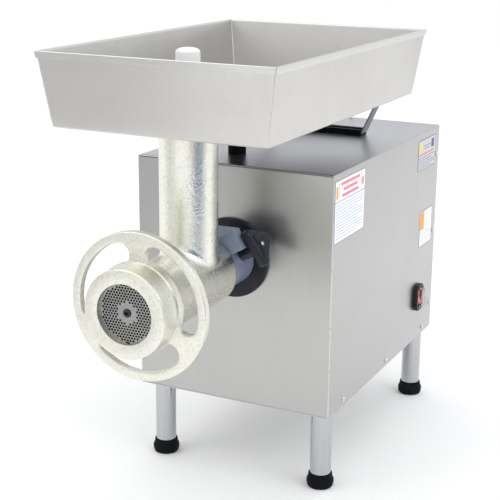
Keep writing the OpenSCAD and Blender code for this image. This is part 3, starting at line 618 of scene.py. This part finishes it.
def build_corner_welds():
    """Dressed weld along both front corners, with a few pits left in it."""
    draw = random.Random(7)
    pits = [draw.uniform(0.08, 0.92) for _ in range(7)]
    rows = 150
    for side, name in ((-1, "weld_front_left"), (1, "weld_front_right")):
        loops = []
        for i in range(rows + 1):
            share = i / rows
            z = BASE_Z + 1 + (TOP_Z - BEND_R - BASE_Z - 1) * share
            pit = max([0] + [1 - abs(share - p) * (TOP_Z - BASE_Z) / 2.2 for p in pits])
            swell = 0.22 + 0.05 * math.sin(share * 61) + 0.04 * math.sin(share * 137 + 2) - 0.4 * pit
            loop = []
            for a in (-30, 0, 22, 45, 68, 90, 120):
                r = EDGE_R + swell * math.sin(math.radians(min(max(a, 0), 90) * 2)) * 0.7
                x = side * (HALF_W - EDGE_R + r * math.cos(math.radians(90 - a)))
                y = FRONT_Y + EDGE_R - r * math.sin(math.radians(90 - a))
                loop.append((x, y + 0.02, z))
            loop.append((side * (HALF_W - EDGE_R * 1.2), FRONT_Y + EDGE_R * 1.2, z))
            loops.append(loop)
        set_piece(loft(name, loops), "cabinet", "stainless_edge", (), 50)


SCREW_HEAD = [
    (0, -1), (2.4, -1), (2.4, 0), (4.5, 0), (4.6, 0.3), (4.55, 1.0),
    (4.1, 1.8), (3.2, 2.5), (2.0, 2.95), (0.9, 3.08), (0, 3.1),
]


def build_screws():
    """Pan-head screws with a cross recess, one at each screw of the CAD node."""
    head = lathe("screw_head", SCREW_HEAD, "Z", segments=28, closed=False)
    for turn in (0, 90):
        slot = box_object("slot", (-2.3, -0.42, 1.5), (2.3, 0.42, 4))
        slot.data.transform(Matrix.Rotation(math.radians(turn + 20), 4, "Z"))
        combine(head, slot, "DIFFERENCE")
    mesh = head.data
    copies = []
    for centre, out in screw_places():
        copy = new_object("screw", mesh.copy())
        turn = Matrix.Rotation(math.radians(37 * len(copies)), 4, "Z")
        aim = Vector((0, 0, 1)).rotation_difference(Vector(out)).to_matrix().to_4x4()
        copy.data.transform(Matrix.Translation(Vector(centre) * MM) @ aim @ turn)
        copies.append(copy)
    bpy.data.objects.remove(head)
    screws = join("cabinet_screw_set", copies)
    set_piece(screws, "cabinet", "zinc", ["cabinet_screws"], 40)


def screw_places():
    """Centre and outward direction of each screw, from the islands of the CAD node."""
    work = bmesh.new()
    work.from_mesh(CAD["cabinet_screws"].data)
    bmesh.ops.remove_doubles(work, verts=work.verts, dist=1e-6)
    left = set(work.verts)
    places = []
    while left:
        island, queue = [], [left.pop()]
        while queue:
            vertex = queue.pop()
            island.append(vertex.co / MM)
            for edge in vertex.link_edges:
                other = edge.other_vert(vertex)
                if other in left:
                    left.remove(other)
                    queue.append(other)
        low = Vector([min(p[i] for p in island) for i in range(3)])
        high = Vector([max(p[i] for p in island) for i in range(3)])
        middle = (low + high) / 2
        if high.z > TOP_Z + 1:
            places.append(((middle.x, middle.y, TOP_Z), (0, 0, 1)))
        else:
            side = 1 if middle.x > 0 else -1
            places.append(((side * HALF_W, middle.y, middle.z), (side, 0, 0)))
    work.free()
    return sorted(places)


def build_labels():
    """Blank decals on the right-hand side: a border, a header and plain ruled lines."""
    base = HALF_W + 0.02
    ink = printed_film("label_ink", (0.06, 0.08, 0.2))
    grey = printed_film("label_rule", (0.5, 0.55, 0.68))
    foil = printed_film("label_foil", (0.62, 0.63, 0.64), 0.35, 0.8)
    orange = printed_film("label_orange", (0.9, 0.33, 0.04))
    pink = printed_film("label_red", (0.8, 0.16, 0.2))
    yellow = printed_film("label_yellow", (0.72, 0.68, 0.05))

    def patch(name, d0, d1, z0, z1, height, material, corner=0.0):
        outline = rounded([(d0, z0, corner), (d1, z0, corner), (d1, z1, corner), (d0, z1, corner)], 4)
        loops = [[(x, FRONT_Y + d, z) for d, z in outline] for x in (base, base + height)]
        made = loft(name, loops)
        made.data.materials.append(material)
        return made

    def label(name, d0, d1, z0, z1, paper, parts):
        border = 1.0
        pieces = [
            patch(name, d0, d1, z0, z1, 0.2, ink, 1.5),
            patch(name, d0 + border, d1 - border, z0 + border, z1 - border, 0.26, paper, 1.0),
        ]
        for part in parts:
            pieces.append(patch(*part))
        made = join(name, pieces)
        set_piece(made, "cabinet", None, (), 0)
        return made

    rules = [("rule", 8, 119 if i % 4 else 96, 415 + i * 4.6, 416.9 + i * 4.6, 0.3, grey) for i in range(12)]
    header = [
        ("head", 5, 123, 471.6, 472.6, 0.32, ink),
        ("head", 19, 19.8, 472.6, 504, 0.32, ink),
        ("head", 108, 108.8, 472.6, 504, 0.32, ink),
    ]
    header += [("block", 8, 15.5, 477, 496, 0.32, orange), ("block", 111, 118, 481, 493, 0.32, pink)]
    header += [("bar", 26 + inset, 102 - inset, z, z + 4.4, 0.32, pink) for inset, z in ((4, 477), (10, 486), (0, 495))]
    front = label("label_front", 4, 124, 409, 505, MATERIALS["label"], rules + header)
    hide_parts("side_labels")

    lines = [("rule", 386, 470 if i % 3 else 452, 452 + i * 4.4, 453.1 + i * 4.4, 0.3, ink) for i in range(5)]
    lines += [("bar", 386, 466, 474.5, 477.5, 0.3, pink), ("box", 386, 400, 481, 498, 0.3, yellow)]
    lines += [("box", 406, 446, 489, 490.2, 0.3, ink), ("box", 412, 440, 484, 485.2, 0.3, ink)]
    lines.append(("box", 451, 466, 482, 497, 0.3, ink))
    label("label_rear", 382, 474, 448, 502, foil, lines)

    notes = [("rule", 411, 469 if i % 2 else 455, 310 + i * 5, 311.6 + i * 5, 0.3, grey) for i in range(5)]
    notes += [("box", 409, 430, 335.5, 368, 0.3, orange), ("box", 436, 466, 340, 341.4, 0.3, grey)]
    notes.append(("box", 436, 462, 346, 347.4, 0.3, grey))
    label("label_service", 407, 473, 305, 370, MATERIALS["label"], notes)


def cut_outline(width, height, cut):
    """Rectangle with cut corners."""
    w, h = width / 2, height / 2
    return [
        (-w + cut, -h), (w - cut, -h), (w, -h + cut), (w, h - cut),
        (w - cut, h), (-w + cut, h), (-w, h - cut), (-w, -h + cut),
    ]


def build_switch():
    """Bezel, rocker and clear boot of the switch on the right-hand side."""
    low, high = node_box("switch_bezel")
    middle_y, middle_z = (low.y + high.y) / 2, (low.z + high.z) / 2
    width, height, deep = high.y - low.y, high.z - low.z, high.x - low.x
    turn = Matrix(((0, 0, 1), (1, 0, 0), (0, 1, 0)))

    def place(out):
        return (turn, (HALF_W + out, middle_y, middle_z))

    outlines = [cut_outline(width, height, 8), cut_outline(width - 8, height - 8, 6)]
    bezel = plate("switch_bezel_frame", outlines, deep, 0.9, place(deep / 2))
    set_piece(bezel, "cabinet", "plastic_black", ["switch_bezel"], 30)

    w, h = width - 8.6, height - 8.6
    sizes = [
        (0, 3.4, 6), (0, 8.6, 6), (0.5, 9.6, 6), (2.0, 10.4, 5.5),
        (2.8, 11.6, 5), (3.1, 12.6, 5), (3.6, 13.3, 5), (4.8, 13.5, 4.6),
    ]
    loops = []
    for inset, out, cut in sizes:
        corners = cut_outline(w - inset * 2, h - inset * 2, cut - inset * 0.4)
        outline = rounded([(a, b, 1.6) for a, b in corners], 3)
        loops.append([(HALF_W + out, middle_y + a, middle_z + b) for a, b in outline])
    boot = loft("switch_boot_clear", loops)
    work = bmesh.new()
    work.from_mesh(boot.data)
    flat = [f for f in work.faces if f.normal.x < -0.9]
    bmesh.ops.delete(work, geom=flat, context="FACES_ONLY")
    work.to_mesh(boot.data)
    work.free()
    thick = boot.modifiers.new("wall", "SOLIDIFY")
    thick.thickness = 0.9 * MM
    apply_modifiers(boot)
    set_piece(boot, "cabinet", "boot_clear", ["switch_boot"], 50)

    rocker = CAD["switch_rocker"]
    round_off = rocker.modifiers.new("rounding", "BEVEL")
    round_off.width = 0.6 * MM
    round_off.segments = 3
    round_off.limit_method = "ANGLE"


# ---------- legs ----------


def build_feet():
    """Flared rubber feet, open in the middle of their undersides."""
    tubes_low, tubes_high = node_box("leg_tubes")
    tube_r = 17.0
    top = node_box("leg_feet")[1].z
    profile = [
        (0, 3), (9, 3), (10, 0.2), (10.6, 0), (18.2, 0), (19.2, 0.4), (20.6, 2.4), (21.4, 5.2),
        (21.9, 8.6), (21.9, 11.2), (21.4, 13.4), (20.5, 15.2), (19.7, 16.8), (19.3, 19),
        (19.1, top - 2.4), (18.9, top - 1), (18.2, top - 0.15), (17.6, top),
        (tube_r, top - 0.6), (tube_r, 6), (0, 6),
    ]
    feet = []
    for x in (tubes_low.x + tube_r, tubes_high.x - tube_r):
        for y in (tubes_low.y + tube_r, tubes_high.y - tube_r):
            feet.append(lathe("foot", profile, "Z", (x, y, 0), 64))
    made = join("rubber_feet", feet)
    set_piece(made, "cabinet", "rubber_black", ["leg_feet"], 40)


# ---------- head ----------

BARREL_R = 50.0
COLUMN_R = 42.0
COLLAR_R = 39.0
THREAD_R = 56.0
MOUTH_D = -300.0
THREAD_END_D = -250.0
NECK_D = -78.3
THREAD_LEAD = 5.0


def thread_shape(radius, height, angle):
    """Cuts a helical thread of the ring nut's lead into the barrel's mouth."""
    if radius < THREAD_R - 0.01 or not MOUTH_D + 2 < height < THREAD_END_D - 1:
        return radius
    phase = (height / THREAD_LEAD + angle / (2 * math.pi)) % 1.0
    return radius - 1.5 * min(1.0, max(0.0, 1.6 - abs(phase - 0.5) * 5.2))


def build_casting():
    """Barrel, column and tray collar in one casting, with a fillet where they meet."""
    steps = 96
    length = THREAD_END_D - MOUTH_D - 2.2
    threads = [(THREAD_R, MOUTH_D + 1.2 + i * length / steps) for i in range(steps + 1)]
    outside = [(0, MOUTH_D), (THREAD_R - 1.4, MOUTH_D), (THREAD_R - 0.4, MOUTH_D + 0.4)] + threads
    outside += [(BARREL_R + out, THREAD_END_D + d) for out, d in ((5.2, 0.6), (2.6, 3.2), (0.8, 5.6), (0, 8.5))]
    outside += [(BARREL_R, -85), (BARREL_R - 0.4, -82.4), (BARREL_R - 1.6, -80.4), (BARREL_R - 4, NECK_D)]
    outside += [(31, NECK_D), (31, -21), (30, -20), (0, -20)]
    casting = lathe("head_casting", outside, "Y", (0, FRONT_Y, AXIS_Z), SEGMENTS, False, thread_shape)

    top = TRAY_LOW.z - AXIS_Z - 0.3
    collar_top = node_box("head_housing")[1].z - AXIS_Z
    columns = 96
    rows = []
    for k in range(columns):
        phi = 2 * math.pi * k / columns
        c, s = math.cos(phi), math.sin(phi)
        ball = 15 - 3 * s
        x = (COLUMN_R + ball) * c
        height = math.sqrt((BARREL_R + ball) ** 2 - x * x)
        centre = Vector((x, (COLUMN_R + ball) * s, height))
        to_column = Vector((-c, -s, 0))
        to_barrel = -Vector((x, 0, height)).normalized()
        turn = to_column.angle(to_barrel)
        line = [(c * COLLAR_R * f, s * COLLAR_R * f, collar_top) for f in (0, 0.97)]
        line += [(c * COLLAR_R, s * COLLAR_R, z) for z in (collar_top - 1.2, top)]
        line += [(c * (COLUMN_R - 0.8), s * (COLUMN_R - 0.8), top), (c * COLUMN_R, s * COLUMN_R, top - 0.8)]
        line += [(c * COLUMN_R, s * COLUMN_R, height + (top - 0.8 - height) * f) for f in (0.75, 0.5, 0.25)]
        for i in range(13):
            t = i / 12
            aim = (to_column * math.sin((1 - t) * turn) + to_barrel * math.sin(t * turn)) / math.sin(turn)
            line.append(tuple(centre + aim * ball))
        foot = centre + to_barrel * ball
        inward = Vector((foot.x, 0, foot.z)).normalized()
        line.append(tuple(foot - inward * 4))
        line.append((0, 0, 12))
        rows.append([(px, COLUMN_Y + py, AXIS_Z + pz) for px, py, pz in line])
    points = [p for line in rows for p in line]
    column = mesh_object("column", points, grid_faces(columns, len(rows[0]), wrap_rows=True, wrap_columns=False))
    combine(casting, column, "UNION")

    bore = [
        (0, MOUTH_D - 2), (50.4, MOUTH_D - 2), (49.6, MOUTH_D + 0.8), (49.6, -290.7),
        (42, -290.7), (42, -87), (18, -87), (18, -10), (0, -10),
    ]
    combine(casting, lathe("bore", bore, "Y", (0, FRONT_Y, AXIS_Z), SEGMENTS, False), "DIFFERENCE")
    throat = [
        (0, 0), (34, 0), (34, collar_top - 1.4),
        (35.6, collar_top + 0.2), (35.6, collar_top + 8), (0, collar_top + 8),
    ]
    combine(casting, lathe("throat", throat, "Z", (0, COLUMN_Y, AXIS_Z), SEGMENTS, False), "DIFFERENCE")
    set_piece(casting, "head", "tinned_iron", ["head_housing"], 38)


def build_ring_nut():
    """Ring nut and spoked hand wheel, cast in one."""
    front = RING_LOW.y - FRONT_Y
    back = RING_HIGH.y - FRONT_Y
    hub_r = 62.5
    wheel_r = RING_HIGH.x
    web_a = front + 34
    web = 12.0
    web_b = web_a + web
    outside = [
        (42, front + 1.0), (42.3, front + 0.3), (43, front), (hub_r - 2.6, front),
        (hub_r - 1.2, front + 0.4), (hub_r - 0.3, front + 1.4), (hub_r, front + 2.8),
        (hub_r, web_a - 3.4), (hub_r + 0.5, web_a - 1.4), (hub_r + 1.9, web_a + 0.2),
        (hub_r + 1.9, web_b - 0.2), (hub_r + 0.5, web_b + 1.4), (hub_r, web_b + 3.4),
        (hub_r, back - 1.6), (hub_r - 0.5, back - 0.5), (hub_r - 1.6, back),
    ]
    bore_r = 56.35
    steps = 84
    inside = [(57.4, back), (56.4, back - 1)]
    inside += [(bore_r, back - 1.2 - i * (back - 1.2 - (front + 9.6)) / steps) for i in range(steps + 1)]
    inside += [(bore_r, front + 8.7), (42, front + 8.7)]

    def groove(radius, height, angle):
        if abs(radius - bore_r) > 0.001 or not front + 11 < height < back - 1.5:
            return radius
        phase = (height / THREAD_LEAD + angle / (2 * math.pi)) % 1.0
        return radius + 1.5 * min(1.0, max(0.0, 1.6 - min(phase, 1.0 - phase) * 5.2))

    nut = lathe("ring_nut_and_wheel", outside + inside, "Y", (0, FRONT_Y, AXIS_Z), 120, True, groove)

    rim_in, hub_in, half_spoke = wheel_r - 13, 61.0, 12.0
    end_r = (rim_in - hub_in) / 2
    middle_r = (rim_in + hub_in) / 2
    spread = math.degrees(math.asin((half_spoke + end_r) / middle_r))
    outlines = [arc((0, 0), wheel_r, 0, 357.5, 143), arc((0, 0), 59.0, 0, 357, 119)]
    for spoke in (90, 210, 330):
        a, b = spoke + spread, spoke + 120 - spread
        centre_a, centre_b = (arc((0, 0), middle_r, end, end, 1)[0] for end in (a, b))
        window = arc((0, 0), rim_in, a, b, 40)
        window += arc(centre_b, end_r, b, b + 180, 16)[1:]
        window += arc((0, 0), hub_in, b, a, 30)[1:-1]
        window += arc(centre_a, end_r, a + 180, a + 360, 16)[:-1]
        outlines.append(window)
    wheel = plate("wheel", outlines, web, 2.2, along_y(web_a + web / 2), 4)
    combine(nut, wheel, "UNION")
    set_piece(nut, "ring", "wheel_cast", ["ring_nut"], 38)


# ---------- clamp ----------

CLAMP_TILT = 30
CLAMP_D = -45
KNOB_LOBES = [98.7 + i * 120 for i in range(3)]
KNOB_REACH = 41
KNOB_LEVELS = [
    (6.5, 71.2), (2.2, 71), (0.9, 71.5), (0.15, 72.8), (0, 74.2), (0, 80.6),
    (0.2, 81.8), (1.2, 83.0), (2.6, 83.9), (3.6, 84.1), (6.8, 84.0),
]
KNOB_HUB = [
    (0, 45), (9.8, 45), (10.7, 45.4), (11.2, 46.4), (11.3, 48),
    (11.3, 68.6), (12.2, 70.4), (14, 72), (14, 75), (0, 75),
]
KNOB_STUD = [(0, 84), (3.4, 84), (3.4, 85.3), (3.0, 86.0), (1.9, 86.6), (0.8, 86.8), (0, 86.85)]
CLAMP_LEAD = 1.75


def build_clamp():
    """Three-lobed knob with a ribbed hub, on a threaded steel screw; Z runs along the screw."""
    tilt = math.radians(CLAMP_TILT)
    turn = Matrix(((math.sin(tilt), 0, math.cos(tilt)), (0, 1, 0), (-math.cos(tilt), 0, math.sin(tilt))))
    place = Matrix.Translation(Vector((0, FRONT_Y + CLAMP_D, AXIS_Z)) * MM) @ turn.to_4x4()

    lobes = [math.radians(a) for a in KNOB_LOBES]
    base = rounded([(KNOB_REACH * math.cos(a), KNOB_REACH * math.sin(a), 7.0) for a in lobes], 12)

    def ring(inset, height):
        count = len(base)
        loop = []
        for i, point in enumerate(base):
            before, after = Vector(base[i - 1]), Vector(base[(i + 1) % count])
            along = (after - before).normalized()
            loop.append((point[0] - along.y * inset, point[1] + along.x * inset, height))
        return loop

    body = loft("knob_plate", [ring(inset, height) for inset, height in KNOB_LEVELS])

    def ribs(radius, height, angle):
        return radius + (0.6 * (0.5 + 0.5 * math.cos(16 * angle)) if radius > 9 and 46 < height < 69 else 0)

    combine(body, lathe("knob_hub", KNOB_HUB, "Z", (0, 0, 0), 112, False, ribs), "UNION")
    root = 5.2
    arm = rounded([(0, -root, 0), (20, -4.2, 4), (20, 4.2, 4), (0, root, 0)], 5)
    arms = []
    for a in lobes:
        c, s = math.cos(a), math.sin(a)
        loops = []
        for shrink, height in ((0, 83.5), (0, 84.55), (0.35, 84.9), (0.9, 85.0)):
            pulled = [(x - (shrink if x > 1 else 0), y * (1 - shrink / root)) for x, y in arm]
            loops.append([(x * c - y * s, x * s + y * c, height) for x, y in pulled])
        arms.append(loft("arm", loops))
    for arm in arms:
        combine(body, arm, "UNION")
    body.data.transform(place)

    def thread(radius, height, angle):
        if radius < 5.9 or not 37 < height < 53.9:
            return radius
        phase = (height / CLAMP_LEAD + angle / (2 * math.pi)) % 1.0
        return radius - 0.75 * abs(phase - 0.5) * 2

    rows = 60
    screw = [(0, 34.5), (4.6, 34.5), (5.4, 35.3)]
    screw += [(5.98, 36 + i * 19.5 / rows) for i in range(rows + 1)]
    screw.append((0, 55.5))
    rod = lathe("clamp_screw_rod", screw, "Z", (0, 0, 0), 40, False, thread)
    stud = lathe("knob_stud", KNOB_STUD, "Z", (0, 0, 0), 36, False)
    rod.data.transform(place)
    stud.data.transform(place)
    metal = join("clamp_screw_metal", [rod, stud])
    set_piece(body, "clamp_screw", "knob", ["clamp_knob"], 35)
    set_piece(metal, "clamp_screw", "zinc", ["clamp_knob"], 35)


# ---------- tray ----------

HEM_H = 10.0
HEM_OUT = 1.5
TRAY_TOP = TRAY_HIGH.z
TRAY_BASE = TRAY_LOW.z
RIM_HALF = TRAY_HIGH.x - HEM_OUT
RIM_FRONT = TRAY_LOW.y - FRONT_Y + HEM_OUT
RIM_BACK = TRAY_HIGH.y - FRONT_Y - HEM_OUT
FLOOR_HALF = RIM_HALF - 14.5
FLOOR_FRONT = RIM_FRONT + 12.5
FLOOR_BACK = RIM_BACK - 12.5


def tray_limits(z, inset=0.0):
    """Half width, front and rear depth of the tray's outside at a height, pulled in by inset."""
    share = (z - TRAY_BASE) / (TRAY_TOP - TRAY_BASE)
    return (
        FLOOR_HALF + (RIM_HALF - FLOOR_HALF) * share - inset,
        FLOOR_FRONT + (RIM_FRONT - FLOOR_FRONT) * share + inset,
        FLOOR_BACK + (RIM_BACK - FLOOR_BACK) * share - inset,
    )


def tray_loop(z, inset, corner):
    """Outline of the tray at a height, with rounded corners."""
    half, front, back = tray_limits(z, inset)
    outline = rounded([(-half, front, corner), (half, front, corner), (half, back, corner), (-half, back, corner)], 5)
    return [(x, FRONT_Y + d, z) for x, d in outline]


def tray_shell(name, wall, bend, corner, low, high):
    """Solid inside the tray's outside (wall 0) or inside (wall of the sheet)."""
    loops = []
    for i in range(6):
        a = math.radians(90 * i / 5)
        loops.append(tray_loop(low + bend * (1 - math.cos(a)), wall + bend * (1 - math.sin(a)), corner))
    for share in (0.2, 0.4, 0.6, 0.8, 1.0):
        z = low + bend + (high - low - bend) * share
        loops.append(tray_loop(z, wall, corner * (1 - 0.4 * share)))
    return loft(name, loops)


def build_tray():
    """Folded tray: pan, hem over its rim, and welded corners."""
    pan = tray_shell("tray_pan_sheet", 0, 3.0, 3.6, TRAY_BASE, TRAY_TOP - 2)
    combine(pan, tray_shell("hollow", SHEET, 1.8, 0.9, TRAY_BASE + SHEET, TRAY_TOP + 4), "DIFFERENCE")
    hole_r = COLLAR_R + 0.4
    cutter = [(0, -6), (hole_r, -6), (hole_r, 8), (0, 8)]
    hole = lathe("collar_hole", cutter, "Z", (0, COLUMN_Y, TRAY_BASE), SEGMENTS, False)
    combine(pan, hole, "DIFFERENCE")
    set_piece(pan, "tray", "stainless_tray", ["tray_pan"], 30)

    low = TRAY_TOP - HEM_H
    section = [(0.02, low + 0.1), (HEM_OUT - 0.5, low), (HEM_OUT - 0.12, low + 0.12), (HEM_OUT, low + 0.5)]
    section += [(HEM_OUT, TRAY_TOP - 5), (HEM_OUT, TRAY_TOP - 1.7)]
    for angle in (22, 45, 68, 90, 112, 135, 158):
        a = math.radians(angle)
        section.append((HEM_OUT * math.cos(a), TRAY_TOP - 1.55 + 1.5 * math.sin(a)))
    section += [(-HEM_OUT, TRAY_TOP - 1.7), (-HEM_OUT - 0.02, TRAY_TOP - 3.4), (0.02, TRAY_TOP - 3.4)]
    gap = 0.45
    strips = []
    for side in range(4):
        loops = []
        for end in (0, 1):
            loop = []
            for out, z in section:
                half, front, back = tray_limits(z)
                near = -half - out + gap if end == 0 else half + out - gap
                deep = front - out + gap if end == 0 else back + out - gap
                corners = (
                    (near, FRONT_Y + front - out), (near, FRONT_Y + back + out),
                    (half + out, FRONT_Y + deep), (-half - out, FRONT_Y + deep),
                )
                loop.append((*corners[side], z))
            loops.append(loop)
        strips.append(loft("hem", loops))
    hem = join("tray_hem", strips)
    set_piece(hem, "tray", "stainless_edge", (), 30)

    beads = []
    for sx, at_front in ((1, True), (-1, True), (1, False), (-1, False)):
        rows = 170
        draw = random.Random(11 + sx + 5 * at_front)
        wobble = [draw.uniform(-0.12, 0.12) for _ in range(rows + 1)]
        loops = []
        for i in range(rows + 1):
            share = i / rows
            z = TRAY_BASE + 1.5 + (low - 0.2 - TRAY_BASE - 1.5) * share
            half, front, back = tray_limits(z, 1.0)
            radius = 0.95 + 0.22 * abs(math.sin(share * 118)) + wobble[i]
            radius *= min(1.0, 0.25 + 6 * min(share, 1 - share))
            cx, cy = sx * (half - 0.35), FRONT_Y + (front + 0.35 if at_front else back - 0.35)
            around = [a * math.pi / 5 for a in range(10)]
            loops.append([(cx + radius * math.cos(a), cy + radius * math.sin(a), z) for a in around])
        beads.append(loft("bead", loops))
    welds = join("tray_corner_welds", beads)
    set_piece(welds, "tray", "stainless_edge", (), 60)


# ---------- stomper, strap and other small pieces ----------


def build_stomper():
    """White pusher, turned, with a flange that sits on the tray's collar."""
    low, high = STOMPER_LOW.z, STOMPER_HIGH.z
    seat = node_box("head_housing")[1].z + 0.3
    stem = 17.3
    profile = [(0, low), (29, low), (31.2, low + 0.8), (32.3, low + 2.4), (32.5, low + 4.5), (32.5, seat)]
    profile += [
        (36.4, seat), (37.4, seat + 0.4), (38, seat + 1.4), (38, seat + 4.6), (37.6, seat + 5.8),
        (36.6, seat + 6.5), (35.2, seat + 6.8), (stem + 4.5, seat + 7.1), (stem + 2.2, seat + 7.7),
        (stem + 0.8, seat + 9.0), (stem + 0.2, seat + 11), (stem, seat + 14),
        (stem, high - 7), (stem - 0.25, high - 5.8), (stem - 0.9, high - 4.4), (stem - 2.2, high - 3.0),
        (stem - 4.4, high - 1.8), (stem - 7.6, high - 0.8), (stem - 11.6, high - 0.25), (0, high - 0.02),
    ]
    made = lathe("stomper_turned", profile, "Z", (0, COLUMN_Y, 0), SEGMENTS, False)
    set_piece(made, "stomper", "plastic_white", ["stomper"], 30)


EDGE_WIDTHS = {
    "tray_support": 0.4, "strap_sleeve": 0.8, "support_block": 1.2, "gearbox_cover": 0.8, "neck_seal": 0.8,
    "rear_panel": 0.3, "base_pan": 0.3, "cable_gland": 0.4, "auger": 0.5, "knife": 0.2,
}
OTHER_FINISHES = {
    "tray_support": "strap_steel", "auger_stud": "black_oxide", "knife": "black_oxide", "auger": "worn_iron",
}


def round_cad_nodes():
    """Rounds the edges of the CAD nodes that show, and gives four of them a finish other than their slot's."""
    for name, width in EDGE_WIDTHS.items():
        bevel(CAD[name], width, 2, 40)
    for name, finish in OTHER_FINISHES.items():
        dress(CAD[name], MATERIALS[finish])


# ---------- floor, light and camera ----------


def area_light(name, place, target, size, power, colour=(1, 1, 1)):
    """Rectangular lamp aimed at a point."""
    lamp = bpy.data.lights.new(name, "AREA")
    lamp.shape = "RECTANGLE"
    lamp.size, lamp.size_y = size
    lamp.energy = power
    lamp.color = colour
    made = new_object(name, lamp)
    made.location = place
    made.rotation_euler = (Vector(target) - Vector(place)).to_track_quat("-Z", "Y").to_euler()


def stage_material(name, colour, roughness):
    """Plain matt finish for the floor and the cards."""
    paint = Paint(name, colour, roughness)
    paint.bump(paint.noise(3, 2.0), 0.0001, 0.2)
    return paint.material


def card(name, half, height, finish, place, turn):
    """Upright card that only shows in reflections; half and height in millimetres, turn in degrees."""
    made = box_object(name, (-half, -8, 0), (half, 8, height))
    made.data.materials.append(stage_material(*finish, 0.9))
    made.matrix_world = Matrix.Translation(place) @ Matrix.Rotation(math.radians(turn), 4, "Z")
    made.visible_camera = False
    made.visible_shadow = False
    made.visible_diffuse = False
    return made


def build_studio():
    """Plain pale floor, wide soft lights, and a dark and a grey card that the metal reflects."""
    floor = box_object("floor", (-30000, -30000, -20), (30000, 30000, 0))
    floor.data.materials.append(stage_material("floor_white", (0.97, 0.965, 0.955), 0.9))
    screen = card("dim_screen", 620, 1100, ("screen_blue", (0.03, 0.09, 0.22)), (1.35, -0.78, 0), 62)
    flag = card("grey_flag", 420, 900, ("flag_grey", (0.66, 0.66, 0.67)), (-0.78, -1.0, 0), -38)

    world = bpy.data.worlds.new("studio")
    bpy.context.scene.world = world
    world.use_nodes = True
    back = world.node_tree.nodes["Background"]
    back.inputs["Color"].default_value = (0.965, 0.98, 1.0, 1)
    back.inputs["Strength"].default_value = 1.07

    area_light("key", (-2.2, -2.6, 3.2), (0, 0, 0.3), (2.4, 2.4), 22, (1, 0.985, 0.96))
    area_light("fill", (3.4, -0.6, 2.2), (0, 0, 0.3), (2.2, 2.2), 26, (0.96, 0.98, 1))
    area_light("top", (0, 0.4, 4.2), (0, 0, 0), (4.5, 4.5), 20)


CAMERA_PLACE = (0.80659, -1.67122, 0.88271)
CAMERA_AZIMUTH = 26.246
CAMERA_ELEVATION = 15.768
CAMERA_ROLL = 0.495
FOCAL_LENGTH = 85.59


def build_camera():
    """Camera at the viewing angle, on a sensor 36 mm wide."""
    lens = bpy.data.cameras.new("camera")
    lens.sensor_width = 36.0
    lens.lens = FOCAL_LENGTH
    lens.shift_x, lens.shift_y = -0.0030, -0.00445
    lens.clip_end = 200
    camera = new_object("camera", lens)
    scene = bpy.context.scene
    turn = Matrix.Rotation(math.radians(CAMERA_AZIMUTH), 4, "Z")
    turn = turn @ Matrix.Rotation(math.radians(90 - CAMERA_ELEVATION), 4, "X")
    roll = Matrix.Rotation(math.radians(CAMERA_ROLL), 4, "Z")
    camera.matrix_world = Matrix.Translation(CAMERA_PLACE) @ turn @ roll
    scene.camera = camera
    scene.view_settings.view_transform = "Standard"


build_cabinet_wrap()
build_front_panel()
build_corner_welds()
build_screws()
build_labels()
build_switch()
build_feet()
build_casting()
build_ring_nut()
build_clamp()
build_tray()
build_stomper()
round_cad_nodes()
build_studio()
build_camera()
